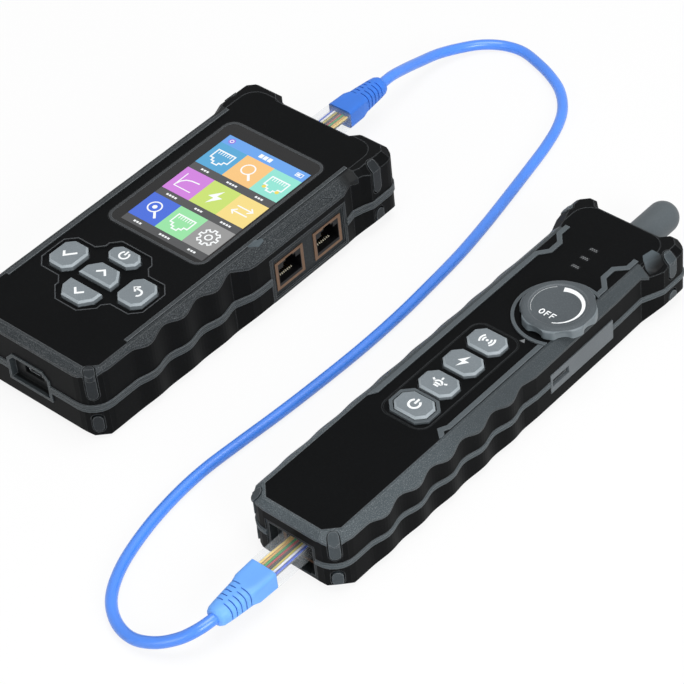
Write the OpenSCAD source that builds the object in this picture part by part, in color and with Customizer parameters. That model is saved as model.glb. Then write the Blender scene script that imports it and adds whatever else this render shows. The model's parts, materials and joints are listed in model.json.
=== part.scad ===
// Network cable tester kit: a handheld tester and a handheld receiver with probe, lying
// face up side by side and joined by a patch cord with two modular plugs.
// Millimetres, +Z up, +Y towards the heads. The origin is the centre of the two units'
// footprint on the surface that they rest on.

/* [Layout] */
// Distance between the centre lines of the two units
unit_spacing = 130.4; // [120:0.2:160]
// How far the tester's foot stands ahead of the receiver's foot
foot_offset = 3.3; // [0:0.1:20]

/* [Tester case] */
// Length of the tester without its ears
t_len = 159; // [156:1:175]
// Width over the valleys of the tester's grips
t_w = 67.8; // [67:0.2:74]
// Height of the tester
t_h = 33; // [32:0.5:38]
// Width over the tester's ears
t_ear_w = 76.8; // [75:0.2:84]
// Height of the waves on the tester's grips
t_wave = 1.7; // [0.5:0.1:2]
// Length of one wave on the tester's grips
t_pitch = 17.5; // [16.5:0.5:18]
// Thickness of the tester's grip rubber
t_grip = 2; // [1.5:0.1:2.2]
// Wall of the tester's shells
t_wall = 2.2; // [1.8:0.1:2.4]

/* [Receiver case] */
// Length of the receiver without ears and probe
r_len = 189; // [187:1:205]
// Width over the valleys of the receiver's grips
r_w = 41.8; // [41:0.2:48]
// Height of the receiver
r_h = 26.2; // [26:0.2:30]
// Width over the receiver's ears
r_ear_w = 49.6; // [49:0.2:54]
// Height of the waves on the receiver's grips
r_wave = 1.6; // [0.5:0.1:1.8]
// Length of one wave on the receiver's grips
r_pitch = 16.6; // [16:0.1:17]
// Thickness of the receiver's grip rubber
r_grip = 1.8; // [1.4:0.1:2]
// Wall of the receiver's shells
r_wall = 2; // [1.6:0.1:2.2]
// Diameter of the probe
probe_d = 12.8; // [11:0.2:13]
// Reach of the probe beyond the receiver's case
probe_reach = 26.7; // [22:0.1:40]

/* [Seams] */
// Height at which the tester's rear half ends
t_seam = 13.4; // [13:0.1:13.6]
// Height of the tester's seam band
t_band = 3.2; // [2.8:0.1:3.4]
// Height at which the receiver's rear half ends
r_seam = 11; // [10.8:0.1:11.2]
// Height of the receiver's seam band
r_band = 2.6; // [2.2:0.1:2.8]
// How far the beads of the seam bands stand out of the grips
bead_out = 0.5; // [0.3:0.1:0.8]

/* [Screen] */
// Width of the lit screen
lcd_w = 41.9; // [38:0.1:42]
// Length of the lit screen
lcd_l = 60.3; // [56:0.1:62]
// Width of the screen's window
lens_w = 50.4; // [50:0.1:53]
// Length of the screen's window
lens_l = 71.5; // [69:0.5:73]
// Thickness of the screen's window
lens_t = 1.2; // [1:0.1:1.4]

/* [Keys] */
// Travel of every key
key_travel = 0.6; // [0.3:0.1:0.7]
// Gap round every key
key_gap = 0.35; // [0.25:0.05:0.5]
// How far a key stands out of the face
key_out = 1.6; // [1.2:0.1:2]
// Width of the OK key and the back key
key_w = 12.2; // [11:0.1:12.6]
// Length of the OK key and the back key
key_l = 14; // [12:0.1:14.4]
// Width of a receiver key
rkey_w = 15; // [13:0.1:15.6]
// Length of a receiver key
rkey_l = 10.8; // [9.6:0.1:11.2]
// Distance between receiver keys
rkey_pitch = 13.3; // [13:0.1:14]

/* [Dial] */
// Diameter of the dial
dial_d = 28.2; // [25:0.2:28.6]
// Height of the dial
dial_h = 4.5; // [4.2:0.1:6.5]
// Diameter of the dial's shaft
dial_shaft_d = 6; // [5:0.1:6.4]
// Distance from the receiver's centre line to the dial's axis
dial_x = 10.9; // [10.5:0.1:11.5]

/* [Ports] */
// Width of a modular jack
jack_w = 15.4; // [15.4:0.1:16]
// Height of a modular jack
jack_h = 13.2; // [13.2:0.1:13.6]
// Length of a modular jack
jack_l = 18; // [17:0.1:19]
// Distance between the two jacks in the tester's side
side_pitch = 21.2; // [18:0.1:22]
// Distance between the two jacks in the tester's head
head_pitch = 16; // [16:0.1:20]
// Width of a modular plug
plug_w = 11.68; // [11.5:0.02:11.7]
// Height of a modular plug's block
plug_h = 6.6; // [6.4:0.1:6.7]
// Length of a modular plug
plug_l = 32; // [28:0.5:34]
// Clearance round a plug in its jack
plug_gap = 0.12; // [0.08:0.02:0.16]

/* [Cord] */
// Diameter of the cord
cord_d = 4.4; // [3.6:0.1:5]
// Length of a plug's boot
boot_l = 25; // [20:0.5:28]
// Height of a plug's boot
boot_h = 8.2; // [7.4:0.1:8.6]

/* [Hidden] */
$fn = 48;
e = 0.01;

// ---- places of the two units ----
dial_r = dial_d / 2;
tester_x = -(unit_spacing + dial_x + dial_r - t_ear_w / 2 - bead_out) / 2;
receiver_x = tester_x + unit_spacing;
receiver_total = r_len + probe_reach;
receiver_y = (bead_out - receiver_total) / 2;
tester_y = receiver_y + foot_offset;

// ---- tester ----
t_hw = t_w / 2;
t_ehw = t_ear_w / 2;
t_ear_out = 2.6;
t_corner = 9;
t_ear_r = 6;
t_core_hw = t_hw - t_grip;
t_band_top = t_seam + t_band;
t_face = t_h - t_wall;
t_edge = t_hw - 1;
t_trim = 0.9;
groove_d = 0.45;
t_trim_end = t_len - 18;
t_wave_y = 20.25;
t_bay_out = 2.9;
t_bay_x = t_hw + t_bay_out;
t_board_z = t_seam - 5.4 + jack_h;
t_board_t = 1.6;
t_board_top = t_board_z + t_board_t;
board_gap = 0.3;
t_rear_floor = 2.4;
t_bar_z = t_band_top + 3.2;

// side bay and its jacks
bay_y = t_len - 47.6;
bay_w = 42;
bay_h = 20.6;
bay_z = t_board_z - 16.8;
bay_rim = 1.2;
side_jack_y = [bay_y - side_pitch / 2, bay_y + side_pitch / 2];
head_jack_x = [-head_pitch / 2, head_pitch / 2];
t_jack_z = t_board_z - jack_h;

// screen
lens_y = t_len - 57;
lcd_x = 2;
lcd_y = lens_y - 2.2;
lip = 1;
lens_z = t_h - lens_t;
panel_t = 2.2;
panel_w = lcd_w + 2.8;
panel_l = lcd_l + 4.8;
panel_z = lens_z - lip - 0.2 - panel_t;
tray_t = 0.8;
// the tester's flat cell and its buzzer
t_cell_w = 37;
t_cell_l = 54;
t_cell_h = 8;
t_cell_x = 12;
t_cell_y = 30;
buzzer_d = 12;
buzzer_h = 6;
buzzer_x = -20;
buzzer_y = t_len - 41;
tray_gap = 0.3;

// tester keys: place, outline, height
pad_x = -1.2;
pad_y = 42.4;
side_key_dx = 17.8;
switch_h = t_face - t_board_top - 3.5;
key_flange = 0.8;
t_key_top = t_h + key_out;
power_y = pad_y + 11.4;
up_y = pad_y;
down_y = pad_y - 12.8;

// ---- receiver ----
r_hw = r_w / 2;
r_ehw = r_ear_w / 2;
r_ear_out = 2.8;
r_corner = 9;
r_ear_r = 5;
r_core_hw = r_hw - r_grip;
r_band_top = r_seam + r_band;
r_face = r_h - r_wall;
r_edge = r_hw - 2.6;
r_trim = 0.8;
r_trim_end = r_len - 18;
r_wave_y = 16.4;
r_board_z = r_h / 2 + 3.7;
r_board_t = 1.6;
r_board_top = r_board_z + r_board_t;
r_rear_floor = 2;
r_bar_z = r_band_top + 2.2;
r_jack_z = r_board_z - jack_h;
r_bay_w = 22;
r_bay_h = 16;
r_bay_z = r_jack_z - 0.6;
r_bay_depth = 4.4;
dial_y = r_len - 56.1;
dial_z = r_h + 0.3;
rkey_y = [for (i = [0:3]) r_len - 83 - i * rkey_pitch];
rkey_top = r_h + key_out;
r_switch_h = r_face - r_board_top - 1.8;
probe_r = probe_d / 2;
probe_z = 13;
probe_root = r_len - 11;
panel_y0 = r_len - 75;
panel_y1 = r_len - 39;
panel_z0 = 7.8;
r_cell_d = r_board_z - r_rear_floor - 0.8;
r_cell_l = 49;
r_cell_y = 44;
panel_z1 = 16.4;
r_usb_y = panel_y0 + 5.6;
r_usb_z = (panel_z0 + panel_z1) / 2;
light_y = [for (i = [0:2]) r_len - 32.4 + i * 5.5];

// ---- plugs and cord ----
plug_a_in = 11;
plug_b_in = 14.2;
plug_a_x = tester_x + head_jack_x[0];
t_plug_z = t_jack_z + 7.2;
r_plug_z = r_jack_z + 7.2;
t_head_y = tester_y + t_len;
plug_a_y = t_head_y - 0.4 + plug_l - plug_a_in;
boot_a_end = plug_a_y + boot_l;
plug_b_y = receiver_y + r_bay_depth - plug_l + plug_b_in;
boot_b_end = plug_b_y - boot_l;
cord_lay = [
    [-67, 107, 15], [-68, 116, 12.5], [-69, 127, 9],
    [-69, 138, 6], [-66, 148, 4], [-61, 156, 3], [-54, 161.5, 2.2], [-45, 163, 2.2],
    [-35, 160.5, 2.2], [-25, 156.5, 2.2], [-16, 151, 2.2], [-8, 142.5, 2.2], [-2.5, 132, 2.2],
    [1.5, 119, 2.2], [5, 103, 2.2], [8.5, 86, 2.2], [12, 68, 2.2], [15, 49, 2.2], [17, 29, 2.2],
    [18.5, 9, 2.2], [19, -12, 2.2], [18.5, -34, 2.2], [17.5, -55, 2.2], [16, -75, 2.2],
    [15, -93, 2.2], [16, -110, 2.2], [19, -127, 2.2], [24, -143, 2.2], [31, -155, 2.2],
    [40, -162, 2.2], [50, -164.5, 3], [59, -162.5, 5], [66, -158, 7.6], [70.2, -152.6, 10]];
cord_points = concat([[plug_a_x, boot_a_end, t_plug_z]],
    [for (p = cord_lay) p + [tester_x + 58.7, 0, 0]], [[receiver_x, boot_b_end, r_plug_z]]);

black = "#1f2022";
rubber = "#26272a";
grey = "#6b7276";
key_grey = "#7d8589";
blue = "#4a8ff0";

// ================= shared shapes =================
wave_steps = 12;
function arc(x, y, r, a0, a1, n = 6) =
    [for (i = [0:n]) let (a = a0 + (a1 - a0) * i / n) [x + r * cos(a), y + r * sin(a)]];

// One long edge of a case, from its foot corner over its waves to its ear at the head
function case_edge(hw, corner, y0, waves, pitch, amp, flat, ehw, ear_y, end_y, ear_out, ear_r,
        ear_in) = concat(
    arc(hw - corner, corner, corner, -90, 0),
    [for (i = [0:wave_steps * waves])
        [hw + amp * (1 - cos(360 * i / wave_steps)) / 2, y0 + i * pitch / wave_steps]],
    flat,
    [[ehw - 1.6, ear_y], [ehw, ear_y + 4]],
    arc(ehw - ear_r, end_y + ear_out - ear_r, ear_r, 0, 90, 5),
    [[ear_in + ear_out, end_y + ear_out], [ear_in, end_y]]);

module case_plan(right, left) {
    polygon(concat(right, [for (i = [len(left) - 1:-1:0]) [-left[i][0], left[i][1]]]));
}

// Rounded rectangle from corner to corner
module plate(x0, y0, x1, y1, r) {
    polygon(concat(arc(x1 - r, y0 + r, r, -90, 0), arc(x1 - r, y1 - r, r, 0, 90),
        arc(x0 + r, y1 - r, r, 90, 180), arc(x0 + r, y0 + r, r, 180, 270)));
}

module block(x0, y0, z0, x1, y1, z1) {
    translate([x0, y0, z0]) cube([x1 - x0, y1 - y0, z1 - z0]);
}

module rod(x, y, z0, z1, d) {
    translate([x, y, z0]) cylinder(d = d, h = z1 - z0);
}

// All that lies beyond a plane that slopes at 45 degrees down towards direction a
module slant(x, y, z, a, up = 1) {
    translate([x, y, z]) rotate([0, 0, a]) rotate([0, -45 * up, 0])
        translate([0, -260, -40]) cube([60, 520, 80]);
}

// The eight top slants of a case: sides, foot, head and the corners between them
module top_slants(edge, foot, head, corner, ear, z, s) {
    for (m = [0, 1]) mirror([m, 0, 0]) {
        slant(edge - s, 0, z, 0);
        slant(corner[0] - s * 0.7, corner[1] + s * 0.7, z, -45);
        slant(ear[0] - s * 0.7, ear[1] - s * 0.7, z, 45);
    }
    slant(0, foot + s, z, -90);
    slant(0, head - s, z, 90);
}

module bottom_slants(edge, foot, head, corner, ear) {
    for (m = [0, 1]) mirror([m, 0, 0]) {
        slant(edge, 0, 0, 0, -1);
        slant(corner[0], corner[1], 0, -45, -1);
        slant(ear[0], ear[1], 0, 45, -1);
    }
    slant(0, foot, 0, -90, -1);
    slant(0, head, 0, 90, -1);
}

// The fuller corners at a case's head, each a block with five slants of its own. The edge is
// its side, start is where it leaves the case's slant, and inner is its side in the head.
module ears(edge, start, corner, head, inner, z, s) {
    for (m = [0, 1]) mirror([m, 0, 0]) difference() {
        block(inner[0] - 12, start[1] - 12, 0, edge + 12, head + 12, z);
        slant(edge + s, 0, z, 0);
        slant(start[0] + s, start[1], z, -ear_turn);
        slant(corner[0] + s * 0.7, corner[1] + s * 0.7, z, 45);
        slant(0, head + s, z, 90);
        slant(inner[0] - s * 0.7, inner[1] + s * 0.7, z, 135);
    }
}
ear_turn = 20;

// A flat strip of a given width along a path of points, with mitred bends
function normal(d) = [-d[1], d[0]] / norm(d);
function beside(p, i, s) = let (n = len(p) - 1,
    a = normal(p[min(i + 1, n)] - p[min(i, n - 1)]),
    b = normal(p[max(i, 1)] - p[max(i - 1, 0)]))
    p[i] + (a + b) * s / (1 + a * b);
module strip(path, w) {
    n = len(path) - 1;
    polygon(concat([for (i = [0:n]) beside(path, i, w / 2)],
        [for (i = [n:-1:0]) beside(path, i, -w / 2)]));
}

// An eight-sided outline: a rectangle with cut corners
function octagon(w, l, c) = [[w / 2 - c, -l / 2], [w / 2, -l / 2 + c], [w / 2, l / 2 - c],
    [w / 2 - c, l / 2], [c - w / 2, l / 2], [-w / 2, l / 2 - c], [-w / 2, c - l / 2],
    [c - w / 2, -l / 2]];

function scaled(pts, f) = [for (p = pts) p * f];

// A key: bevelled cap, flange behind the face and stem towards its switch
module key(pts, top, face, stem_z) {
    bevel = 0.7;
    big = max([for (p = pts) norm(p)]);
    hull() {
        translate([0, 0, top - bevel - 0.1]) linear_extrude(0.1) polygon(pts);
        translate([0, 0, top - 0.1]) linear_extrude(0.1) polygon(scaled(pts, 1 - bevel / big));
    }
    translate([0, 0, face - 0.3]) linear_extrude(top - bevel - face + 0.3) polygon(pts);
    translate([0, 0, face - 0.3 - key_flange]) linear_extrude(key_flange)
        polygon(scaled(pts, 1 + 0.8 / big));
    rod(0, 0, stem_z, face - 0.3, 4);
}

// Room in the face for a key
module key_hole(pts, face) {
    big = max([for (p = pts) norm(p)]);
    translate([0, 0, face - e]) linear_extrude(20) polygon(scaled(pts, 1 + key_gap * 1.3 / big));
}

module tact_switch(z, h) {
    translate([-3, -3, z]) cube([6, 6, h - 1]);
    rod(0, 0, z, z + h, 3.2);
}

// A modular jack whose mouth faces +Y at y = 0 and whose latch slot points down.
// It stands on z = 0, with its plug's block centred 7.2 above it.
module jack_cavity() {
    cw = plug_w + 2 * plug_gap;
    ch = plug_h + 2 * plug_gap;
    block(-cw / 2, -14.6, 7.2 - ch / 2, cw / 2, 1, 7.2 + ch / 2);
    block(-3.4, -13.8, 1.9, 3.4, 1, 7.2);
    block(-2, -13.8, 0.9, 2, 1, 7.2);
}

module jack_shell() {
    difference() {
        block(-jack_w / 2, -jack_l, 0, jack_w / 2, 0, jack_h);
        jack_cavity();
        for (i = [0:7]) translate([(i - 3.5) * 1.016 - 0.25, -14, 7]) cube([0.5, 11, 5.2]);
    }
}

// The eight spring contacts of a jack, lying in the grooves of its roof
module jack_contacts() {
    for (i = [0:7])
        block((i - 3.5) * 1.016 - 0.17, -13, 10.75, (i - 3.5) * 1.016 + 0.17, -4, 11.1);
}

// A modular plug whose rear faces +Y at y = 0 and whose block is centred on z = 0
module plug_body() {
    difference() {
        union() {
            block(-plug_w / 2, -plug_l, -plug_h / 2, plug_w / 2, 0, plug_h / 2);
            block(-3, -plug_l + 1, -plug_h / 2 - 1.3, 3, -plug_l + 3.5, -plug_h / 2);
            block(-3, -plug_l + 1, -plug_h / 2 - 1.9, 3, -plug_l + 8.4, -plug_h / 2 - 0.7);
            block(-1.6, -plug_l + 8.4, -plug_h / 2 - 2, 1.6, -plug_l + 17, -plug_h / 2 - 1);
        }
        block(-4.4, -plug_l + 3, 0.2, 4.4, 1, 1.5);
        for (i = [0:7]) translate([(i - 3.5) * 1.016 - 0.2, -plug_l - 1, 1.4])
            cube([0.4, 6.6, 4]);
    }
}

// The eight blades of a plug and the eight wires under them
module plug_blades() {
    for (i = [0:7])
        block((i - 3.5) * 1.016 - 0.15, -plug_l + 0.5, 1.55, (i - 3.5) * 1.016 + 0.15,
            -plug_l + 5, 3.1);
}
module plug_wires() {
    for (i = [0:7]) translate([(i - 3.5) * 1.016, -plug_l + 3.6, 0.85]) rotate([-90, 0, 0])
        cylinder(d = 0.9, h = plug_l - 3.6, $fn = 16);
}

// A boot from the rear of a plug to the cord, along +Y from y = 0
module boot() {
    hull() {
        block(-5.7, 0, -boot_h / 2, 5.7, 9, boot_h / 2);
        translate([0, boot_l - 8, 0]) rotate([-90, 0, 0]) cylinder(d = boot_h, h = 3, $fn = 32);
    }
    translate([0, boot_l - 6, 0]) rotate([-90, 0, 0])
        cylinder(d1 = boot_h, d2 = cord_d + 1.4, h = 6, $fn = 32);
}

// ================= tester =================
module at_tester() { translate([tester_x, tester_y, 0]) children(); }

function waves_to(y, start, pitch) = floor((y - start) / pitch);
t_right = case_edge(t_hw, t_corner, t_wave_y,
    waves_to(bay_y - bay_w / 2 - 10.6, t_wave_y, t_pitch), t_pitch, t_wave,
    [[t_bay_x - 0.4, bay_y - bay_w / 2 - 10.6], [t_bay_x, bay_y - bay_w / 2 - 7],
        [t_bay_x, bay_y + bay_w / 2], [t_bay_x - 1.2, t_len - 21.5]],
    t_ehw, t_len - 17, t_len, t_ear_out, t_ear_r, 18.4);
t_left = case_edge(t_hw, t_corner, t_wave_y, waves_to(t_len - 24, t_wave_y, t_pitch),
    t_pitch, t_wave, [[t_hw, t_len - 24]],
    t_ehw, t_len - 17, t_len, t_ear_out, t_ear_r, 18.4);
t_bevel_corner = [t_hw - 4, 4];
t_bevel_ear = [t_ehw - 4.2, t_len + t_ear_out - 4.2];

module tester_plan() { case_plan(t_right, t_left); }
module tester_core(inset = 0) {
    plate(-t_core_hw + inset, t_grip + inset, t_core_hw - inset, t_len - t_grip - inset,
        t_corner - t_grip - min(inset, 4));
}
module tester_ears(s = 0) {
    ears(t_ehw - 3.4, [t_edge, t_len - 21], t_bevel_ear, t_len + t_ear_out - 2.4,
        [21.4, t_len - 0.4], t_h, s);
}
module tester_slants(s = 0) {
    top_slants(t_edge, 2.2, t_len - 3, t_bevel_corner, t_bevel_ear, t_h, s);
}
module tester_hull() {
    difference() {
        linear_extrude(t_h) tester_plan();
        difference() {
            tester_slants();
            tester_ears();
        }
        bottom_slants(t_hw - 1.6, 3, t_len - 2, t_bevel_corner, t_bevel_ear);
    }
}
// The skin of the slants, from the foot to the ears
module tester_trim_room() {
    intersection() {
        block(-60, -5, t_band_top, 60, t_trim_end, t_h + 1);
        tester_slants(t_trim * 1.414);
    }
}
// Slots for the corner inserts, or the inserts themselves when grow is 0
module tester_corner_bars(z0, z1, grow, out, reach = 0) {
    for (m = [0, 1]) mirror([m, 0, 0]) {
        translate([t_hw - t_corner * 0.293, t_corner * 0.293, 0]) rotate([0, 0, -45])
            corner_bar(z0, z1, grow, out, reach);
        translate([t_ehw, t_len - 9.7, 0]) corner_bar(z0, z1, grow, out, reach * 1.5);
    }
}
// Room for the upper inserts of the tester
module tester_bar_slots() {
    tester_corner_bars(t_bar_z - 0.4, t_h + 1, 0.35, 3, bar_reach);
}
bar_reach = 1.1;
// An upright bar, or one that bends over a case's top edge and ends a reach from its side
module corner_bar(z0, z1, grow, out, reach = 0) {
    half = bar_w / 2 + grow;
    translate([-bar_t - grow / 4, 0, 0]) rotate([0, 90, 0])
        linear_extrude(bar_t + out + grow / 4) translate([-z1, 0]) {
            translate([bar_w / 2, 0]) circle(r = half);
            translate([z1 - z0 - bar_w / 2, 0]) circle(r = half);
            translate([bar_w / 2, -half]) square([z1 - z0 - bar_w, 2 * half]);
        }
    if (reach > 0) translate([0, 0, z1 - bar_fold - 2 * grow]) linear_extrude(bar_fold + 2 * grow) {
        translate([-reach, 0]) circle(r = half);
        translate([-reach, -half]) square([reach + out, 2 * half]);
    }
}
bar_w = 4;
bar_t = 1.4;
bar_fold = 5;
// Everything that passes through the tester's walls from outside
module tester_wall_cuts(gap) {
    block(t_core_hw - t_wall - 3, bay_y - bay_w / 2 - gap, bay_z - gap, t_bay_x + 5,
        bay_y + bay_w / 2 + gap, bay_z + bay_h + gap);
    head_hw = (head_pitch + jack_w) / 2 + gap;
    block(-head_hw, t_len - 12, t_jack_z - gap, head_hw, t_len + 5, t_jack_z + jack_h + gap);
    block(-4.6 - gap, -5, t_usb_z - 1.6 - gap, 4.6 + gap, 8, t_usb_z + 1.6 + gap);
}
// The recess in the tester's foot, grown by a margin, from y0 to y1
module foot_recess(grow, y0, y1) {
    half = foot_w / 2;
    slope = 2.6;
    translate([0, y1, 0]) rotate([90, 0, 0]) linear_extrude(y1 - y0)
        polygon([[-half - grow, foot_z0 - grow], [half + grow, foot_z0 - grow],
            [half + grow, foot_z1 - slope + grow * 0.41], [half - slope + grow * 0.41, foot_z1 + grow],
            [slope - half - grow * 0.41, foot_z1 + grow],
            [-half - grow, foot_z1 - slope + grow * 0.41]]);
}
foot_w = 20;
foot_z0 = 10;
foot_z1 = 21;
foot_depth = 3.2;
foot_rim = 1.2;
t_usb_z = 15;
// The raised strips along the long edges of the tester's face, or the grooves for them
strip_w = 1.6;
strip_y = 22;
strip_out = 0.4;
module tester_strips(grow, out) {
    x = t_edge - t_trim * 1.414 - 0.2;
    for (m = [0, 1]) mirror([m, 0, 0])
        block(x - strip_w - grow, strip_y - grow, t_h - 0.6 - grow, x + min(grow, 0.1),
            t_trim_end + grow, t_h + out);
}
t_boss_x = t_core_hw - 5.9;
t_boss_y = [11, t_len - 12];
t_bosses = [for (y = t_boss_y, s = [1, -1]) [s * t_boss_x, y]];
t_post_x = t_core_hw - 4.5;
t_posts = [for (y = [62, t_len - 23], s = [1, -1]) [s * t_post_x, y]];

module key_field() {
    polygon([[13.2, -9.6], [22.2, -9.6], [26, -5.8], [26, 5.8], [22.2, 9.6], [14, 9.6],
        [11, 12.6], [11, 14.4], [7.6, 17.8], [-7.6, 17.8], [-11, 14.4], [-11, 12.4],
        [-13.8, 9.6], [-22.6, 9.6], [-26.4, 5.8], [-26.4, -5.8], [-22.6, -9.6], [-13.6, -9.6],
        [-10.8, -12.4], [-10.8, -14.2], [-5.4, -19.4], [5.4, -19.4], [10.8, -14.2],
        [10.8, -12]]);
}

ok_pts = octagon(key_w, key_l, 2.9);
power_pts = octagon(14, 7.8, 2.6);
up_pts = [[8, -4.4], [8, 0], [4.4, 4.4], [-4.4, 4.4], [-8, 0], [-8, -4.4]];
down_pts = [for (i = [5:-1:0]) [up_pts[i][0], -up_pts[i][1]]];
t_keys = [[pad_x - side_key_dx, pad_y, ok_pts], [pad_x, power_y, power_pts],
    [pad_x, up_y, up_pts], [pad_x, down_y, down_pts], [pad_x + side_key_dx, pad_y, ok_pts]];

module tester_front_shell() color(black) at_tester() {
    difference() {
        intersection() {
            tester_hull();
            translate([0, 0, t_band_top]) linear_extrude(t_h) tester_core();
        }
        tester_trim_room();
        translate([0, 0, t_band_top - e]) linear_extrude(t_face - t_band_top + e)
            tester_core(t_wall);
        translate([0, 0, lens_z]) linear_extrude(lens_t + e)
            plate(-lens_w / 2, lens_y - lens_l / 2, lens_w / 2, lens_y + lens_l / 2, 5);
        block(lcd_x - lcd_w / 2 - 0.3, lcd_y - lcd_l / 2 - 0.3, t_face - e,
            lcd_x + lcd_w / 2 + 0.3, lcd_y + lcd_l / 2 + 0.3, t_h);
        translate([pad_x, pad_y, t_h - 0.5]) linear_extrude(1) key_field();
        for (k = t_keys) translate([k[0], k[1], 0]) key_hole(k[2], t_face);
        tester_strips(0.1, 3);
        tester_bar_slots();
        tester_wall_cuts(0.15);
        foot_recess(foot_rim, -5, foot_depth);
    }
    difference() {
        union() {
            for (b = t_bosses) rod(b[0], b[1], t_band_top, t_face, 6.4);
            for (p = t_posts) rod(p[0], p[1], t_board_top, t_face, 4.4);
        }
        for (b = t_bosses) rod(b[0], b[1], t_band_top - 1, t_face - 2, 2.2);
    }
}

module tester_chamfer_trim() color(grey) at_tester() difference() {
    intersection() {
        tester_hull();
        tester_trim_room();
    }
    tester_bar_slots();
    tester_chamfer_groove();
}
// The shallow pointed recess in the slant above the side bay
module tester_chamfer_groove() {
    intersection() {
        slant(t_edge - groove_d * 1.414, 0, t_h, 0);
        translate([t_edge + 1.3, bay_y, t_band_top]) linear_extrude(t_h)
            polygon([[0, -15.9], [1.7, -13.7], [2, 15], [1.8, 16.4], [0, 12.4]]);
    }
}

module tester_face_trims() color(grey) at_tester() tester_strips(0, strip_out);

module tester_front_grip() color(rubber) at_tester() difference() {
    intersection() {
        tester_hull();
        block(-60, -5, t_band_top, 60, t_len + 10, t_h + 1);
    }
    tester_trim_room();
    translate([0, 0, -1]) linear_extrude(t_h + 2) tester_core();
    tester_bar_slots();
    tester_wall_cuts(0.15);
    foot_recess(foot_rim, -5, foot_depth);
}

module tester_seam_band() color(grey) at_tester() difference() {
    union() {
        translate([0, 0, t_seam]) linear_extrude(t_band) tester_plan();
        for (z = [t_seam + 0.1, t_band_top - 1.4])
            translate([0, 0, z]) linear_extrude(1.3) offset(delta = bead_out) tester_plan();
        foot_recess(foot_rim, -bead_out, foot_depth);
    }
    translate([0, 0, t_seam - 1]) linear_extrude(t_band + 2) tester_core(t_wall);
    tester_wall_cuts(0.15);
    foot_recess(0, -5, foot_depth - 0.9);
}

module tester_rear_shell() color(black) at_tester() difference() {
    union() {
        difference() {
            linear_extrude(t_seam) tester_core();
            bottom_slants(t_hw - 1.6, 3, t_len - 2, t_bevel_corner, t_bevel_ear);
            translate([0, 0, t_rear_floor]) linear_extrude(t_seam) tester_core(t_wall);
        }
        for (b = t_bosses) rod(b[0], b[1], 1, t_band_top - 0.1, 6.4);
        for (x = [-6.4, 6.4]) rod(x, 10, 1, t_usb_z - 2.8, 3);
    }
    tester_wall_cuts(0.15);
    foot_recess(foot_rim, -5, foot_depth);
    for (b = t_bosses) {
        rod(b[0], b[1], -1, t_band_top + 1, 3);
        rod(b[0], b[1], -1, 6, 5.2);
    }
}

module tester_rear_grip() color(rubber) at_tester() difference() {
    intersection() {
        tester_hull();
        block(-60, -5, -1, 60, t_len + 10, t_seam);
    }
    translate([0, 0, -1]) linear_extrude(t_h + 2) tester_core();
    tester_corner_bars(3.6, 11.6, 0.35, 3);
    tester_wall_cuts(0.15);
    foot_recess(foot_rim, -5, foot_depth);
}

module tester_corner_inserts() color(grey) at_tester() intersection() {
    union() {
        tester_corner_bars(t_bar_z, t_h + 0.65, 0, 0.3, bar_reach);
        tester_corner_bars(4, 11.2, 0, 0.3);
    }
    tester_hull_room();
}
// A little more room than the case, with the same slants, for what stands proud of it
module tester_hull_room() {
    difference() {
        block(-t_ehw - 1, -1, 0, t_ehw + 1, t_len + 4, t_h);
        difference() {
            top_slants(t_edge + 0.5, 1.7, t_len - 1, [t_hw - 3.6, 3.6], t_bevel_ear, t_h, 0);
            tester_ears(0.5);
        }
        bottom_slants(t_hw - 1.6, 3, t_len - 2, t_bevel_corner, t_bevel_ear);
    }
}

bay_hole_in = 5;
module tester_port_bay() color(grey) at_tester() difference() {
    block(t_core_hw - t_wall + 0.3, bay_y - bay_w / 2, bay_z, t_bay_x, bay_y + bay_w / 2,
        bay_z + bay_h);
    block(t_bay_x - 0.8, bay_y - bay_w / 2 + bay_rim, bay_z + bay_rim, t_bay_x + 1,
        bay_y + bay_w / 2 - bay_rim, bay_z + bay_h - bay_rim);
    for (y = side_jack_y)
        block(t_core_hw - bay_hole_in, y - jack_w / 2 - 0.1, t_jack_z - 0.1, t_bay_x + 1,
            y + jack_w / 2 + 0.1, t_jack_z + jack_h + 0.1);
}

module tester_side_jack_places() {
    for (y = side_jack_y) translate([t_bay_x - 0.5, y, t_board_z]) rotate([0, 180, -90])
        children();
}
module tester_head_jack_places() {
    for (x = head_jack_x) translate([x, t_len - 0.4, t_jack_z]) children();
}

module tester_side_jacks() color("#8a6a4e") at_tester() tester_side_jack_places() jack_shell();

module tester_head_jacks() color("#8a6a4e") at_tester() tester_head_jack_places() jack_shell();

module port_contacts() color("gold") {
    at_tester() {
        tester_side_jack_places() jack_contacts();
        tester_head_jack_places() jack_contacts();
    }
    at_receiver() receiver_jack_place() jack_contacts();
}

module tester_screen_lens() color("#141416") at_tester() translate([0, 0, lens_z + 0.05])
    linear_extrude(lens_t - 0.05)
        plate(-lens_w / 2 + 0.1, lens_y - lens_l / 2 + 0.1, lens_w / 2 - 0.1,
            lens_y + lens_l / 2 - 0.1, 4.9);

module tester_lcd_panel() color("#5a9de8") at_tester()
    block(lcd_x - panel_w / 2, lcd_y - panel_l / 2, panel_z, lcd_x + panel_w / 2,
        lcd_y + panel_l / 2, panel_z + panel_t);

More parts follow.
